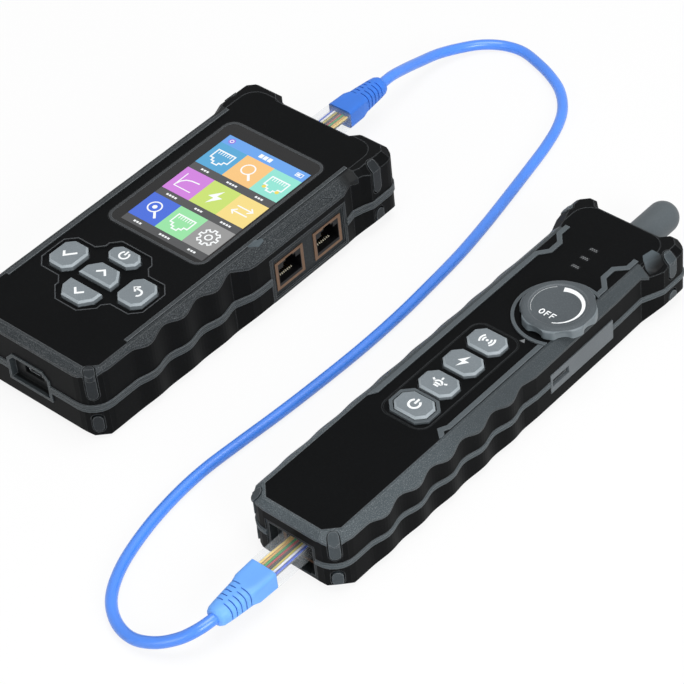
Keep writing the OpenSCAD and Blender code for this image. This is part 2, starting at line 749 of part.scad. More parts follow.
module tester_lcd_tray() color("silver") at_tester() {
    x0 = lcd_x - panel_w / 2 - tray_gap - tray_t;
    x1 = lcd_x + panel_w / 2 + tray_gap + tray_t;
    y0 = lcd_y - panel_l / 2 - tray_gap - tray_t;
    y1 = lcd_y + panel_l / 2 + tray_gap + tray_t;
    difference() {
        block(x0, y0, panel_z - tray_t, x1, y1, panel_z + panel_t - 0.2);
        block(x0 + tray_t, y0 + tray_t, panel_z, x1 - tray_t, y1 - tray_t, t_h);
    }
    for (x = [x0 + 4, x1 - 4], y = [y0 + 4, y1 - 4]) rod(x, y, t_board_top, panel_z - tray_t, 4);
}

module tester_main_board() color("darkgreen") at_tester() difference() {
    intersection() {
        translate([0, 0, t_board_z]) linear_extrude(t_board_t) tester_core(t_wall + board_gap);
        block(-t_hw, 6.5, t_board_z, t_hw, t_len, t_board_top);
    }
    for (b = t_bosses) rod(b[0], b[1], t_board_z - 1, t_board_top + 1, 7.4);
    for (b = t_bosses) translate([b[0] > 0 ? b[0] : b[0] - 10, b[1] - 3.7, t_board_z - 1])
        cube([10, 7.4, 4]);
}

module tester_key_switches() color("#303030") at_tester()
    for (k = t_keys) translate([k[0], k[1], 0]) tact_switch(t_board_top, switch_h);

module tester_key(i) {
    color(key_grey) at_tester() translate([t_keys[i][0], t_keys[i][1], 0])
        key(t_keys[i][2], t_key_top, t_face, t_board_top + switch_h + key_travel + 0.1);
}
module tester_key_ok() { tester_key(0); }
module tester_key_power() { tester_key(1); }
module tester_key_up() { tester_key(2); }
module tester_key_down() { tester_key(3); }
module tester_key_back() { tester_key(4); }

module tester_battery() color("silver") at_tester()
    translate([0, 0, t_rear_floor + 0.3]) linear_extrude(t_cell_h)
        plate(t_cell_x - t_cell_w, t_cell_y, t_cell_x, t_cell_y + t_cell_l, 2);

module tester_buzzer() color("#202020") at_tester() difference() {
    rod(buzzer_x, buzzer_y, t_board_z - buzzer_h, t_board_z, buzzer_d);
    rod(buzzer_x, buzzer_y, t_board_z - buzzer_h - 1, t_board_z - buzzer_h + 1, 2);
}

// A USB-C receptacle whose mouth faces -Y at y = 0, centred on z = 0
module usb_c() {
    difference() {
        translate([0, 7.4, 0]) rotate([90, 0, 0]) linear_extrude(7.4) slot_plan(9, 3.2);
        translate([0, 6.4, 0]) rotate([90, 0, 0]) linear_extrude(7.4) slot_plan(8.4, 2.6);
    }
    block(-3.3, 1, -0.35, 3.3, 6.5, 0.35);
}
module slot_plan(w, h) {
    for (s = [-1, 1]) translate([s * (w - h) / 2, 0]) circle(d = h);
    square([w - h, h], center = true);
}

module tester_usb_c_port() color("silver") at_tester() translate([0, foot_depth + 0.2, t_usb_z])
    usb_c();

module charge_boards() color("darkgreen") {
    at_tester() block(-9, 5, t_usb_z - 2.8, 9, 19, t_usb_z - 1.6);
    at_receiver() block(r_core_hw - r_wall - 12, r_usb_y - 7, r_usb_z - 2.8,
        r_core_hw - r_wall - 0.3, r_usb_y + 7, r_usb_z - 1.6);
}

module screw(z0, len) {
    difference() {
        union() {
            rod(0, 0, z0, z0 + 1.8, 4.6);
            rod(0, 0, z0, z0 + len, 2.1);
        }
        translate([0, 0, z0 - 1]) linear_extrude(1.9) {
            square([2.6, 0.6], center = true);
            square([0.6, 2.6], center = true);
        }
    }
}

module tester_case_screws() color("dimgray") at_tester()
    for (b = t_bosses) translate([b[0], b[1], 0]) screw(4.2, 20);

// ================= receiver =================
module at_receiver() { translate([receiver_x, receiver_y, 0]) children(); }

r_right = case_edge(r_hw, r_corner, r_wave_y,
    waves_to(panel_y0 - 8, r_wave_y, r_pitch), r_pitch, r_wave,
    [[r_hw + 0.8, panel_y0 - 8], [r_hw + 0.4, panel_y1 + 4], [r_hw, r_len - 21]],
    r_ehw, r_len - 16, r_len, r_ear_out, r_ear_r, 14.4);
r_left = case_edge(r_hw, r_corner, r_wave_y, waves_to(r_len - 32, r_wave_y, r_pitch),
    r_pitch, r_wave, [[r_hw, r_len - 21]],
    r_ehw, r_len - 16, r_len, r_ear_out, r_ear_r, 14.4);
r_bevel_corner = [r_hw - 5, 5];
r_bevel_ear = [r_ehw - 3.6, r_len + r_ear_out - 3.6];

module receiver_plan() { case_plan(r_right, r_left); }
module receiver_core(inset = 0) {
    plate(-r_core_hw + inset, r_grip + inset, r_core_hw - inset, r_len - r_grip - inset,
        r_corner - r_grip - min(inset, 4));
}
module receiver_ears(s = 0) {
    ears(r_ehw - 3, [r_edge, r_len - 17], r_bevel_ear, r_len + r_ear_out - 1.6,
        [16.8, r_len + 0.4], r_h, s);
}
module receiver_slants(s = 0) {
    top_slants(r_edge, 2.1, r_len - 1.6, r_bevel_corner, r_bevel_ear, r_h, s);
}
module receiver_hull() {
    difference() {
        linear_extrude(r_h) receiver_plan();
        difference() {
            receiver_slants();
            receiver_ears();
        }
        bottom_slants(r_hw - 1.6, 3, r_len - 2, r_bevel_corner, r_bevel_ear);
    }
}
module receiver_trim_room() {
    intersection() {
        block(-60, -5, r_band_top, 60, r_trim_end, r_h + 1);
        receiver_slants(r_trim * 1.414);
    }
}
module receiver_corner_bars(z0, z1, grow, out, reach = 0) {
    for (m = [0, 1]) mirror([m, 0, 0]) {
        translate([r_hw - r_corner * 0.293, r_corner * 0.293, 0]) rotate([0, 0, -45])
            corner_bar(z0, z1, grow, out, reach);
        translate([r_ehw, r_len - 7, 0]) corner_bar(z0, z1, grow, out, reach * 1.4);
    }
}
// Room for the upper inserts of the receiver
module receiver_bar_slots() {
    receiver_corner_bars(r_bar_z - 0.4, r_h + 1, 0.35, 3, bar_reach);
}
module receiver_hull_room() {
    difference() {
        block(-r_ehw - 1, -1, 0, r_ehw + 1, r_len + 4, r_h);
        difference() {
            top_slants(r_edge + 0.5, 1.6, r_len - 1, [r_hw - 4.6, 4.6], r_bevel_ear, r_h, 0);
            receiver_ears(0.5);
        }
        bottom_slants(r_hw - 1.6, 3, r_len - 2, r_bevel_corner, r_bevel_ear);
    }
}
module receiver_wall_cuts(gap) {
    block(-r_bay_w / 2 - gap, -5, r_bay_z - gap, r_bay_w / 2 + gap, 8, r_bay_z + r_bay_h + gap);
    block(r_core_hw - r_wall - 3, panel_y0 - gap, panel_z0 - gap, r_hw + 4, panel_y1 + gap,
        panel_z1 + gap);
    translate([0, r_len - 12, probe_z]) rotate([-90, 0, 0]) cylinder(r = probe_r + gap, h = 20);
    translate([torch_x, r_len - 12, torch_z]) rotate([-90, 0, 0])
        cylinder(r = torch_r + gap, h = 20);
}
torch_x = -9.6;
torch_z = 13;
torch_r = 2.5;
r_boss_x = r_core_hw - 5.5;
r_boss_hole = 2.2;
r_bosses = [for (y = [26, r_len - 21], s = [1, -1]) [s * r_boss_x, y]];
r_post_x = r_core_hw - 4.5;
r_posts = [for (y = [60, r_len - 77], s = [1, -1]) [s * r_post_x, y]];
rkey_pts = octagon(rkey_w, rkey_l, 3);
ring_pts = octagon(rkey_w + 3.4, rkey_l + 2.8, 3.6);

// Inlaid trim lines of the receiver's face: left, upper right and lower right
trim_w = 2;
trim_x = r_edge - 2.4;
left_trim = [[-trim_x - 2.1, 61], [-trim_x, 64.5], [-trim_x, r_len - 35],
    [3.3 - trim_x, r_len - 31], [3.3 - trim_x, r_len - 25.4], [-trim_x, r_len - 21.6],
    [-trim_x, r_len - 16.4]];
upper_trim = [[trim_x, r_len - 17], [trim_x, r_len - 22], [trim_x - 3.9, r_len - 25.6],
    [trim_x - 3.9, r_len - 31.4], [trim_x, r_len - 35.8], [trim_x, r_len - 42]];
lower_trim = [[trim_x, dial_y - 15.1], [trim_x, 65.4], [trim_x - 1.4, 62.6],
    [trim_x + 1.6, 60]];

module receiver_trim_lines(w) {
    strip(left_trim, w);
    strip(upper_trim, w);
    strip(lower_trim, w);
}

module key_channel() {
    plate(-10.6, rkey_y[3] - 8.4, 10.6, rkey_y[0] + 7.8, 5);
}

module receiver_front_shell() color(black) at_receiver() {
    difference() {
        intersection() {
            receiver_hull();
            translate([0, 0, r_band_top]) linear_extrude(r_h) receiver_core();
        }
        receiver_trim_room();
        translate([0, 0, r_band_top - e]) linear_extrude(r_face - r_band_top + e)
            receiver_core(r_wall);
        translate([0, 0, r_h - 0.3]) linear_extrude(1) difference() {
            key_channel();
            offset(delta = -0.5) key_channel();
        }
        translate([0, 0, r_h - 0.5]) linear_extrude(2) receiver_trim_lines(trim_w);
        for (y = rkey_y) translate([0, y, 0]) key_hole(rkey_pts, r_face);
        translate([0, rkey_y[3], r_h - 0.6]) linear_extrude(2) polygon(ring_pts);
        rod(dial_x, dial_y, r_face - 1, r_h + 1, dial_shaft_d + 1.4);
        for (y = light_y) block(-1.7, y - 0.8, r_face - 1, 1.7, y + 0.8, r_h + 1);
        receiver_bar_slots();
        receiver_wall_cuts(0.15);
    }
    difference() {
        union() {
            for (b = r_bosses) rod(b[0], b[1], r_band_top, r_face, 5.6);
            for (p = r_posts) rod(p[0], p[1], r_board_top, r_face, 3.6);
        }
        for (b = r_bosses) rod(b[0], b[1], r_band_top - 1, r_face - 1.6, r_boss_hole);
    }
}

module receiver_chamfer_trim() color(grey) at_receiver() difference() {
    intersection() {
        receiver_hull();
        receiver_trim_room();
    }
    receiver_bar_slots();
}

// Inlaid lines, the ring round the dial and the ring round the lowest key
module receiver_face_trims() color(grey) at_receiver() {
    intersection() {
        translate([0, 0, r_h - 0.5]) linear_extrude(0.9) difference() {
            receiver_trim_lines(trim_w);
            translate([dial_x, dial_y]) circle(r = dial_r + 3.3);
        }
        receiver_face_room();
    }
    intersection() {
        translate([dial_x, dial_y, r_h]) difference() {
            cylinder(r = dial_r + 3.1, h = 0.7, $fn = 96);
            translate([0, 0, -1]) cylinder(r = dial_r + 1.8, h = 3, $fn = 96);
        }
        receiver_face_room();
    }
    translate([0, rkey_y[3], r_h - 0.6]) linear_extrude(1.4) difference() {
        polygon(scaled(ring_pts, 0.99));
        polygon(scaled(rkey_pts, 1.06));
    }
}
// Space above the face inside the chamfer trim
module receiver_face_room() {
    block(-r_edge + r_trim * 1.414, 2, r_h - 1, r_edge - r_trim * 1.414, r_len - 2, r_h + 3);
}

module receiver_front_grip() color(rubber) at_receiver() difference() {
    intersection() {
        receiver_hull();
        block(-60, -5, r_band_top, 60, r_len + 10, r_h + 1);
    }
    receiver_trim_room();
    translate([0, 0, -1]) linear_extrude(r_h + 2) receiver_core();
    receiver_bar_slots();
    receiver_wall_cuts(0.15);
}

module receiver_seam_band() color(grey) at_receiver() difference() {
    union() {
        translate([0, 0, r_seam]) linear_extrude(r_band) receiver_plan();
        translate([0, 0, r_seam + 0.6]) linear_extrude(r_band - 1.2)
            offset(delta = bead_out) receiver_plan();
    }
    translate([0, 0, r_seam - 1]) linear_extrude(r_band + 2) receiver_core(r_wall);
    receiver_wall_cuts(0.15);
}

module receiver_rear_shell() color(black) at_receiver() difference() {
    union() {
        difference() {
            linear_extrude(r_seam) receiver_core();
            bottom_slants(r_hw - 1.6, 3, r_len - 2, r_bevel_corner, r_bevel_ear);
            translate([0, 0, r_rear_floor]) linear_extrude(r_seam) receiver_core(r_wall);
        }
        for (b = r_bosses) rod(b[0], b[1], 1, r_band_top - 0.1, 5.6);
        for (y = [r_usb_y - 4.6, r_usb_y + 4.6])
            rod(r_core_hw - r_wall - 8, y, 1, r_usb_z - 2.8, 3);
    }
    receiver_wall_cuts(0.15);
    for (b = r_bosses) {
        rod(b[0], b[1], -1, r_band_top + 1, 2.7);
        rod(b[0], b[1], -1, 4.4, 4.8);
    }
    for (i = [-2:2], j = [-2:2]) if (abs(i) + abs(j) < 4)
        rod(i * 2.6, speaker_y + j * 2.6, -1, r_rear_floor + 1, 1.3);
}

module receiver_rear_grip() color(rubber) at_receiver() difference() {
    intersection() {
        receiver_hull();
        block(-60, -5, -1, 60, r_len + 10, r_seam);
    }
    translate([0, 0, -1]) linear_extrude(r_h + 2) receiver_core();
    receiver_corner_bars(2.8, 9.6, 0.35, 3);
    receiver_wall_cuts(0.15);
}

module receiver_corner_inserts() color(grey) at_receiver() intersection() {
    union() {
        receiver_corner_bars(r_bar_z, r_h + 0.65, 0, 0.3, bar_reach);
        receiver_corner_bars(3.2, 9.2, 0, 0.3);
    }
    receiver_hull_room();
}

module receiver_side_panel() color(grey) at_receiver() difference() {
    block(r_core_hw - r_wall + 0.3, panel_y0, panel_z0, r_hw + 0.9, panel_y1, panel_z1);
    block(r_core_hw - 6, r_usb_y - 4.6, r_usb_z - 1.7, r_hw + 3, r_usb_y + 4.6, r_usb_z + 1.7);
}

module receiver_port_bay() color(grey) at_receiver() difference() {
    block(-r_bay_w / 2, 0.3, r_bay_z, r_bay_w / 2, r_bay_depth + 0.8, r_bay_z + r_bay_h);
    block(-r_bay_w / 2 + 1.2, -1, r_bay_z + 1.2, r_bay_w / 2 - 1.2, r_bay_depth - 0.4,
        r_bay_z + r_bay_h - 1.2);
    block(-jack_w / 2 - 0.1, -1, r_jack_z - 0.1, jack_w / 2 + 0.1, 9, r_jack_z + jack_h + 0.1);
}

module receiver_jack_place() {
    translate([0, r_bay_depth, r_jack_z]) rotate([0, 0, 180]) children();
}

module receiver_jack() color("#8a6a4e") at_receiver() receiver_jack_place() jack_shell();

module receiver_dial() color(grey) at_receiver() translate([dial_x, dial_y, dial_z])
    difference() {
        union() {
            cylinder(r = dial_r, h = dial_h - 1.6, $fn = 96);
            translate([0, 0, dial_h - 1.6]) cylinder(r1 = dial_r, r2 = dial_r - 1.6, h = 1.6,
                $fn = 96);
        }
        translate([0, 0, dial_h - 0.4]) cylinder(r = dial_r - 3.6, h = 2, $fn = 96);
        for (i = [0:7]) rotate([0, 0, 22.5 + i * 45]) translate([dial_r + 3, 0, -1])
            cylinder(r = 4, h = dial_h - 1.2);
        translate([0, 0, -1]) cylinder(d = dial_shaft_d + 0.04, h = dial_h - 1.6);
    }

module receiver_dial_shaft() color("silver") at_receiver()
    rod(dial_x, dial_y, r_board_top + 2.4, dial_z + dial_h - 2.7, dial_shaft_d);

pot_left = 7;
pot_right = 5;
pot_half_l = 6;
module receiver_potentiometer() color("#303030") at_receiver() difference() {
    union() {
        block(dial_x - pot_left, dial_y - pot_half_l, r_board_top,
            min(dial_x + pot_right, r_core_hw - r_wall - 0.2), dial_y + pot_half_l, r_face - 0.4);
        rod(dial_x, dial_y, r_board_top, r_h, dial_shaft_d + 1.1);
    }
    rod(dial_x, dial_y, r_board_top + 2.3, r_h + 1, dial_shaft_d + 0.06);
}

module receiver_key(i) {
    color(key_grey) at_receiver() translate([0, rkey_y[i], 0])
        key(rkey_pts, rkey_top, r_face, r_board_top + r_switch_h + key_travel + 0.1);
}
module receiver_key_trace() { receiver_key(0); }
module receiver_key_detect() { receiver_key(1); }
module receiver_key_lamp() { receiver_key(2); }
module receiver_key_power() { receiver_key(3); }

module receiver_key_switches() color("#303030") at_receiver()
    for (y = rkey_y) translate([0, y, 0]) tact_switch(r_board_top, r_switch_h);

module receiver_main_board() color("darkgreen") at_receiver() difference() {
    intersection() {
        translate([0, 0, r_board_z]) linear_extrude(r_board_t) receiver_core(r_wall + board_gap);
        block(-r_hw, r_bay_depth + 1.2, r_board_z, r_hw, r_len - 15, r_board_top);
    }
    for (b = r_bosses) translate([b[0] > 0 ? b[0] - 3.2 : b[0] - 7, b[1] - 3.2, r_board_z - 1])
        cube([10.2, 6.4, 4]);
}

module receiver_indicator_pipes() color("white") at_receiver()
    for (y = light_y) block(-1.5, y - 0.6, r_board_top + 0.3, 1.5, y + 0.6, r_h + 0.1);

module receiver_probe_tip() color(grey) at_receiver() translate([0, 0, probe_z]) difference() {
    union() {
        translate([0, probe_root, 0]) rotate([-90, 0, 0])
            cylinder(r = probe_r, h = receiver_total - probe_r - probe_root);
        translate([0, receiver_total - probe_r, 0]) sphere(r = probe_r);
    }
    translate([0, probe_root - 1, 0]) rotate([-90, 0, 0])
        cylinder(r = probe_r - 1.6, h = receiver_total - probe_r - probe_root);
}

module receiver_probe_coil() color("#a0522d") at_receiver() translate([0, 0, probe_z])
    rotate([-90, 0, 0]) translate([0, 0, probe_root - 2]) {
        cylinder(r = 2.4, h = receiver_total - probe_r - probe_root - 0.2);
        translate([0, 0, 4]) cylinder(r = probe_r - 1.9, h = 22);
    }

module receiver_torch_lens() color("white") at_receiver()
    translate([torch_x, r_len - 6, torch_z]) rotate([-90, 0, 0]) {
        cylinder(r = torch_r, h = 5.6);
        translate([0, 0, -2]) cylinder(r = 2, h = 2.4);
    }

speaker_y = r_len - 32;
speaker_d = 20;
module receiver_speaker() color("#303030") at_receiver() {
    rod(0, speaker_y, r_rear_floor + 0.1, r_rear_floor + 3, speaker_d);
    rod(0, speaker_y, r_rear_floor + 3, r_rear_floor + 5, speaker_d * 0.6);
}

module receiver_battery() color("steelblue") at_receiver()
    translate([0, r_cell_y, r_rear_floor + r_cell_d / 2 + 0.2]) rotate([-90, 0, 0]) {
        cylinder(d = r_cell_d, h = r_cell_l);
        translate([0, 0, r_cell_l]) cylinder(r = 2.6, h = 1);
    }

module receiver_usb_c_port() color("silver") at_receiver()
    translate([r_hw - 0.4, r_usb_y, r_usb_z]) rotate([0, 0, 90]) usb_c();

r_screw_z = 2.6;
module receiver_case_screws() color("dimgray") at_receiver()
    for (b = r_bosses) translate([b[0], b[1], 0]) screw(r_screw_z, r_face - 3.6 - r_screw_z);

// ================= cord =================
function cross3(a, b) = [a[1] * b[2] - a[2] * b[1], a[2] * b[0] - a[0] * b[2],
    a[0] * b[1] - a[1] * b[0]];
function unit(v) = v / norm(v);
function heading(path, i) = unit(path[min(i + 1, len(path) - 1)] - path[max(i - 1, 0)]);

// A smooth curve through all points, with a given number of steps from each to the next
function smooth(p, n) = [for (i = [0:len(p) - 2])
    let (a = p[max(i - 1, 0)], b = p[i], c = p[i + 1], d = p[min(i + 2, len(p) - 1)])
    for (k = [0:n - 1]) let (t = k / n)
        b + (c - a) / 2 * t + (a - 2.5 * b + 2 * c - d / 2) * t * t
            + (d / 2 - 1.5 * c + 1.5 * b - a / 2) * t * t * t,
    p[len(p) - 1]];

// A round tube along a path that starts and ends along +Y, as one closed polyhedron
module tube(path, d, sides) {
    n = len(path);
    rings = [for (i = [0:n - 1])
        let (t = i == 0 || i == n - 1 ? [0, 1, 0] : heading(path, i),
            u = unit(cross3([0, 0, 1], t)), v = cross3(t, u))
        [for (k = [0:sides - 1]) path[i] + d / 2 * (cos(360 * k / sides) * u
            + sin(360 * k / sides) * v)]];
    pts = [for (r = rings) each r];
    walls = [for (i = [0:n - 2], k = [0:sides - 1]) let (k2 = (k + 1) % sides)
        [i * sides + k, i * sides + k2, (i + 1) * sides + k2, (i + 1) * sides + k]];
    polyhedron(pts, concat([[for (k = [0:sides - 1]) sides - 1 - k]], walls,
        [[for (k = [0:sides - 1]) (n - 1) * sides + k]]));
}

module cord_jacket() color(blue) tube(smooth(cord_points, 2), cord_d, 10);

module plug_a_place() { translate([plug_a_x, plug_a_y, t_plug_z]) children(); }
module plug_b_place() {
    translate([receiver_x, plug_b_y, r_plug_z]) rotate([0, 0, 180]) children();
}

module cord_plugs() color("white") {
    plug_a_place() plug_body();
    plug_b_place() plug_body();
}

module plug_contacts() color("gold") {
    plug_a_place() plug_blades();
    plug_b_place() plug_blades();
}

module cord_wires() color("orange") {
    plug_a_place() plug_wires();
    plug_b_place() plug_wires();
}

module cord_boots() color(blue) {
    plug_a_place() boot();
    plug_b_place() boot();
}

tester_front_shell();
tester_chamfer_trim();
tester_face_trims();
tester_front_grip();
tester_seam_band();
tester_rear_shell();
tester_rear_grip();
tester_corner_inserts();
tester_port_bay();
tester_side_jacks();
tester_head_jacks();
port_contacts();
tester_screen_lens();
tester_lcd_panel();
tester_lcd_tray();
tester_main_board();
tester_key_switches();
tester_key_ok();
tester_key_power();
tester_key_up();
tester_key_down();
tester_key_back();
tester_battery();
tester_buzzer();
tester_usb_c_port();
charge_boards();
tester_case_screws();
receiver_front_shell();
receiver_chamfer_trim();
receiver_face_trims();
receiver_front_grip();
receiver_seam_band();
receiver_rear_shell();
receiver_rear_grip();
receiver_corner_inserts();
receiver_side_panel();
receiver_port_bay();
receiver_jack();
receiver_dial();
receiver_dial_shaft();
receiver_potentiometer();
receiver_key_trace();
receiver_key_detect();
receiver_key_lamp();
receiver_key_power();
receiver_key_switches();
receiver_main_board();
receiver_indicator_pipes();
receiver_probe_tip();
receiver_probe_coil();
receiver_torch_lens();
receiver_speaker();
receiver_battery();
receiver_usb_c_port();
receiver_case_screws();
cord_jacket();
cord_plugs();
plug_contacts();
cord_wires();
cord_boots();
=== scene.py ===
"""Looks of a network cable tester, its tone receiver and the patch cord between them."""

from __future__ import annotations

import json
import logging
import math
from collections.abc import Callable
from dataclasses import dataclass
from enum import Enum

import bmesh
import bpy
from mathutils import Matrix, Vector
from mathutils.bvhtree import BVHTree


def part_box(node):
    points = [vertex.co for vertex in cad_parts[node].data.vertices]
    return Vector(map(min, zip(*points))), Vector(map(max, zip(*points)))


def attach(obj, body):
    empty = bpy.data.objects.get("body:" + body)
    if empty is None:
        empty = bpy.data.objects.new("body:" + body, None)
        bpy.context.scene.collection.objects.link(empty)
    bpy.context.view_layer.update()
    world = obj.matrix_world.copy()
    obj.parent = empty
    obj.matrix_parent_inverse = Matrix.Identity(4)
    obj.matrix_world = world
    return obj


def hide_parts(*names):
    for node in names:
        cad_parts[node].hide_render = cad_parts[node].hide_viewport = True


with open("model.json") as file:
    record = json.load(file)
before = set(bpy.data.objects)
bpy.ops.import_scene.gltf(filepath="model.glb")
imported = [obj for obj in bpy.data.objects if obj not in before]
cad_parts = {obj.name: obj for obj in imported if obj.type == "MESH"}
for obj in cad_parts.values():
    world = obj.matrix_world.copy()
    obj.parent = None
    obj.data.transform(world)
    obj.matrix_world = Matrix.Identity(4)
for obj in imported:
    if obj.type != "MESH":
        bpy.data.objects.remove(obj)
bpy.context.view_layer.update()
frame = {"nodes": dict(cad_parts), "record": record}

log = logging.getLogger("cable_tester")
MM = 0.001
ROOT = "cases_and_cord"
TESTER = Vector((-58.25, -104.3, 0))
RECEIVER = Vector((72.15, -107.6, 0))
Point = tuple[float, float]
Place = tuple[float, float, float]
Colour = tuple[float, float, float]
Socket = bpy.types.NodeSocket
Value = float | tuple[float, ...] | Socket


def linear(code: str) -> Colour:
    """Turns a colour code into the linear values that a shader takes.

    Args:
        code: Six hexadecimal digits.

    Returns:
        Red, green and blue from 0 to 1.
    """
    parts = [int(code[i : i + 2], 16) / 255 for i in (0, 2, 4)]
    return tuple(c / 12.92 if c <= 0.04045 else ((c + 0.055) / 1.055) ** 2.4 for c in parts)


def opaque(code: str) -> tuple[float, ...]:
    """The linear values of a colour code, followed by a full alpha."""
    return (*linear(code), 1)


def show(name: str, data: bpy.types.ID) -> bpy.types.Object:
    """Makes an object of a mesh, curve, lamp or camera and puts it in the scene."""
    made = bpy.data.objects.new(name, data)
    bpy.context.scene.collection.objects.link(made)
    return made


# ---------------------------------------------------------------- node trees


class Wiring:
    """A node tree, with short ways to add nodes and to join them."""

    def __init__(self, tree: bpy.types.NodeTree) -> None:
        """Takes the tree that the nodes go into."""
        self.tree = tree

    def fit(self, node: bpy.types.Node, inputs: dict[str | int, Value]) -> bpy.types.Node:
        """Sets a node's inputs to values, or joins them to other nodes' outputs.

        Args:
            node: The node.
            inputs: A value or an output for each input, by its name or number.

        Returns:
            The same node.
        """
        for key, value in inputs.items():
            if isinstance(value, Socket):
                self.tree.links.new(value, node.inputs[key])
            else:
                node.inputs[key].default_value = value
        return node

    def add(self, kind: str, inputs: dict[str | int, Value], **settings: object) -> bpy.types.Node:
        """Adds a node.

        Args:
            kind: Its type, without the prefix that shader nodes share.
            inputs: A value or an output for each input, by its name or number.
            **settings: The node's own settings.

        Returns:
            The new node.
        """
        node = self.tree.nodes.new(f"ShaderNode{kind}")
        for key, value in settings.items():
            setattr(node, key, value)
        return self.fit(node, inputs)

    def place(self) -> Socket:
        """A point's place on the object, the same at every pose."""
        return self.add("TexCoord", {}).outputs["Object"]

    def axes(self) -> bpy.types.NodeOutputs:
        """A point's place on the object as X, Y and Z."""
        return self.add("SeparateXYZ", {"Vector": self.place()}).outputs

    def math(self, how: str, *values: Value, use_clamp: bool = False) -> Socket:
        """Works one value out from up to three others."""
        return self.add("Math", dict(enumerate(values)), operation=how, use_clamp=use_clamp).outputs["Value"]

    def apart(self, value: Socket, middle: float, half: float) -> Socket:
        """How far a coordinate is from a middle, as a share of a half size, both in millimetres."""
        return self.math("ABSOLUTE", self.math("MULTIPLY_ADD", value, 1 / (half * MM), -middle / half))

    def noise(self, place: Socket, scale: Value, detail: float = 2.0, roughness: float = 0.5) -> Socket:
        """Soft random spots from 0 to 1."""
        inputs = {"Vector": place, "Scale": scale, "Detail": detail, "Roughness": roughness}
        return self.add("TexNoise", inputs).outputs["Fac"]

    def ramp(self, value: Socket, start: float = 0.0, end: float = 1.0, low: float = 0.0,
             high: float = 1.0, how: str = "LINEAR") -> Socket:
        """Rises from low to high while the value goes from start to end, and stays level beyond."""
        inputs = {"Value": value, "From Min": start, "From Max": end, "To Min": low, "To Max": high}
        return self.add("MapRange", inputs, interpolation_type=how).outputs["Result"]

    def blend(self, share: Socket, first: Value, second: Value) -> Socket:
        """Goes from the first colour to the second as the share goes from 0 to 1."""
        return self.add("Mix", {"Factor": share, "A": first, "B": second}, data_type="RGBA").outputs["Result"]

    def toned(self, colour: Value, tone: Socket) -> Socket:
        """Multiplies a colour by a tone."""
        return self.add("VectorMath", {"Vector": colour, "Scale": tone}, operation="SCALE").outputs["Vector"]


class ShaderGroups:
    """The node groups that several finishes share, each built once."""

    @staticmethod
    def made(name: str, inputs: dict[str, float],
             draw: Callable[[Wiring, bpy.types.NodeOutputs], tuple[Socket, Socket, Socket]],
             ) -> bpy.types.ShaderNodeTree:
        """Returns a group that turns a place and a colour into Colour, Roughness and Height.

        Args:
            name: The group's name.
            inputs: Its further inputs and their defaults.
            draw: Adds the group's nodes and returns what it gives.

        Returns:
            The group's node tree, drawn at its first use.
        """
        found = bpy.data.node_groups.get(name)
        if found:
            return found
        tree = bpy.data.node_groups.new(name, "ShaderNodeTree")
        tree.interface.new_socket("Vector", in_out="INPUT", socket_type="NodeSocketVector")
        tree.interface.new_socket("Colour", in_out="INPUT", socket_type="NodeSocketColor")
        for key, value in inputs.items():
            socket = tree.interface.new_socket(key, in_out="INPUT", socket_type="NodeSocketFloat")
            socket.default_value = value
        for key, kind in (("Colour", "Color"), ("Roughness", "Float"), ("Height", "Float")):
            tree.interface.new_socket(key, in_out="OUTPUT", socket_type=f"NodeSocket{kind}")
        given = tree.nodes.new("NodeGroupInput").outputs
        put = tree.nodes.new("NodeGroupOutput")
        wire = Wiring(tree)
        wire.fit(put, dict(zip(("Colour", "Roughness", "Height"), draw(wire, given))))
        return tree

    @classmethod
    def mould_grain(cls) -> bpy.types.ShaderNodeTree:
        """The grain of a moulded surface: fine pits, broad polish and faint lighter specks.

        Returns:
            The group's node tree.
        """

        def draw(wire: Wiring, given: bpy.types.NodeOutputs) -> tuple[Socket, Socket, Socket]:
            """Draws pits from fine noise, with specks where they are deep, and tones from broad noise.

            Args:
                wire: The group's node tree.
                given: What the group is given.

            Returns:
                The colour, the roughness and the height.
            """
            fine = wire.noise(given["Vector"], given["Grain Scale"], 3.0, 0.6)
            broad = wire.noise(given["Vector"], 45.0, 4.0)
            specks = wire.math("MULTIPLY", wire.ramp(fine, 0.5, 0.75), given["Speck"])
            speckled = wire.blend(specks, given["Colour"], (0.5, 0.53, 0.55, 1))
            colour = wire.toned(speckled, wire.ramp(broad, 0.3, 0.7, 0.92, 1.08))
            return colour, wire.math("MULTIPLY_ADD", broad, given["Polish"], given["Roughness"]), fine

        inputs = {"Grain Scale": 1500.0, "Speck": 0.2, "Roughness": 0.5, "Polish": 0.08}
        return cls.made("mould_grain", inputs, draw)

    @classmethod
    def brushed(cls) -> bpy.types.ShaderNodeTree:
        """Fine scratches along one direction on a metal.

        Returns:
            The group's node tree.
        """

        def draw(wire: Wiring, given: bpy.types.NodeOutputs) -> tuple[Socket, Socket, Socket]:
            """Draws scratches from noise that is stretched along Y.

            Args:
                wire: The group's node tree.
                given: What the group is given.

            Returns:
                The colour, the roughness and the height.
            """
            along = wire.add("VectorMath", {0: given["Vector"], 1: (1.0, 0.08, 1.0)}, operation="MULTIPLY")
            scratches = wire.noise(along.outputs["Vector"], given["Scale"], 4.0)
            colour = wire.toned(given["Colour"], wire.ramp(scratches, low=0.8, high=1.1))
            return colour, wire.math("MULTIPLY_ADD", scratches, 0.2, given["Roughness"]), scratches

        return cls.made("brushed", {"Scale": 900.0, "Roughness": 0.25}, draw)


# ---------------------------------------------------------------- finishes


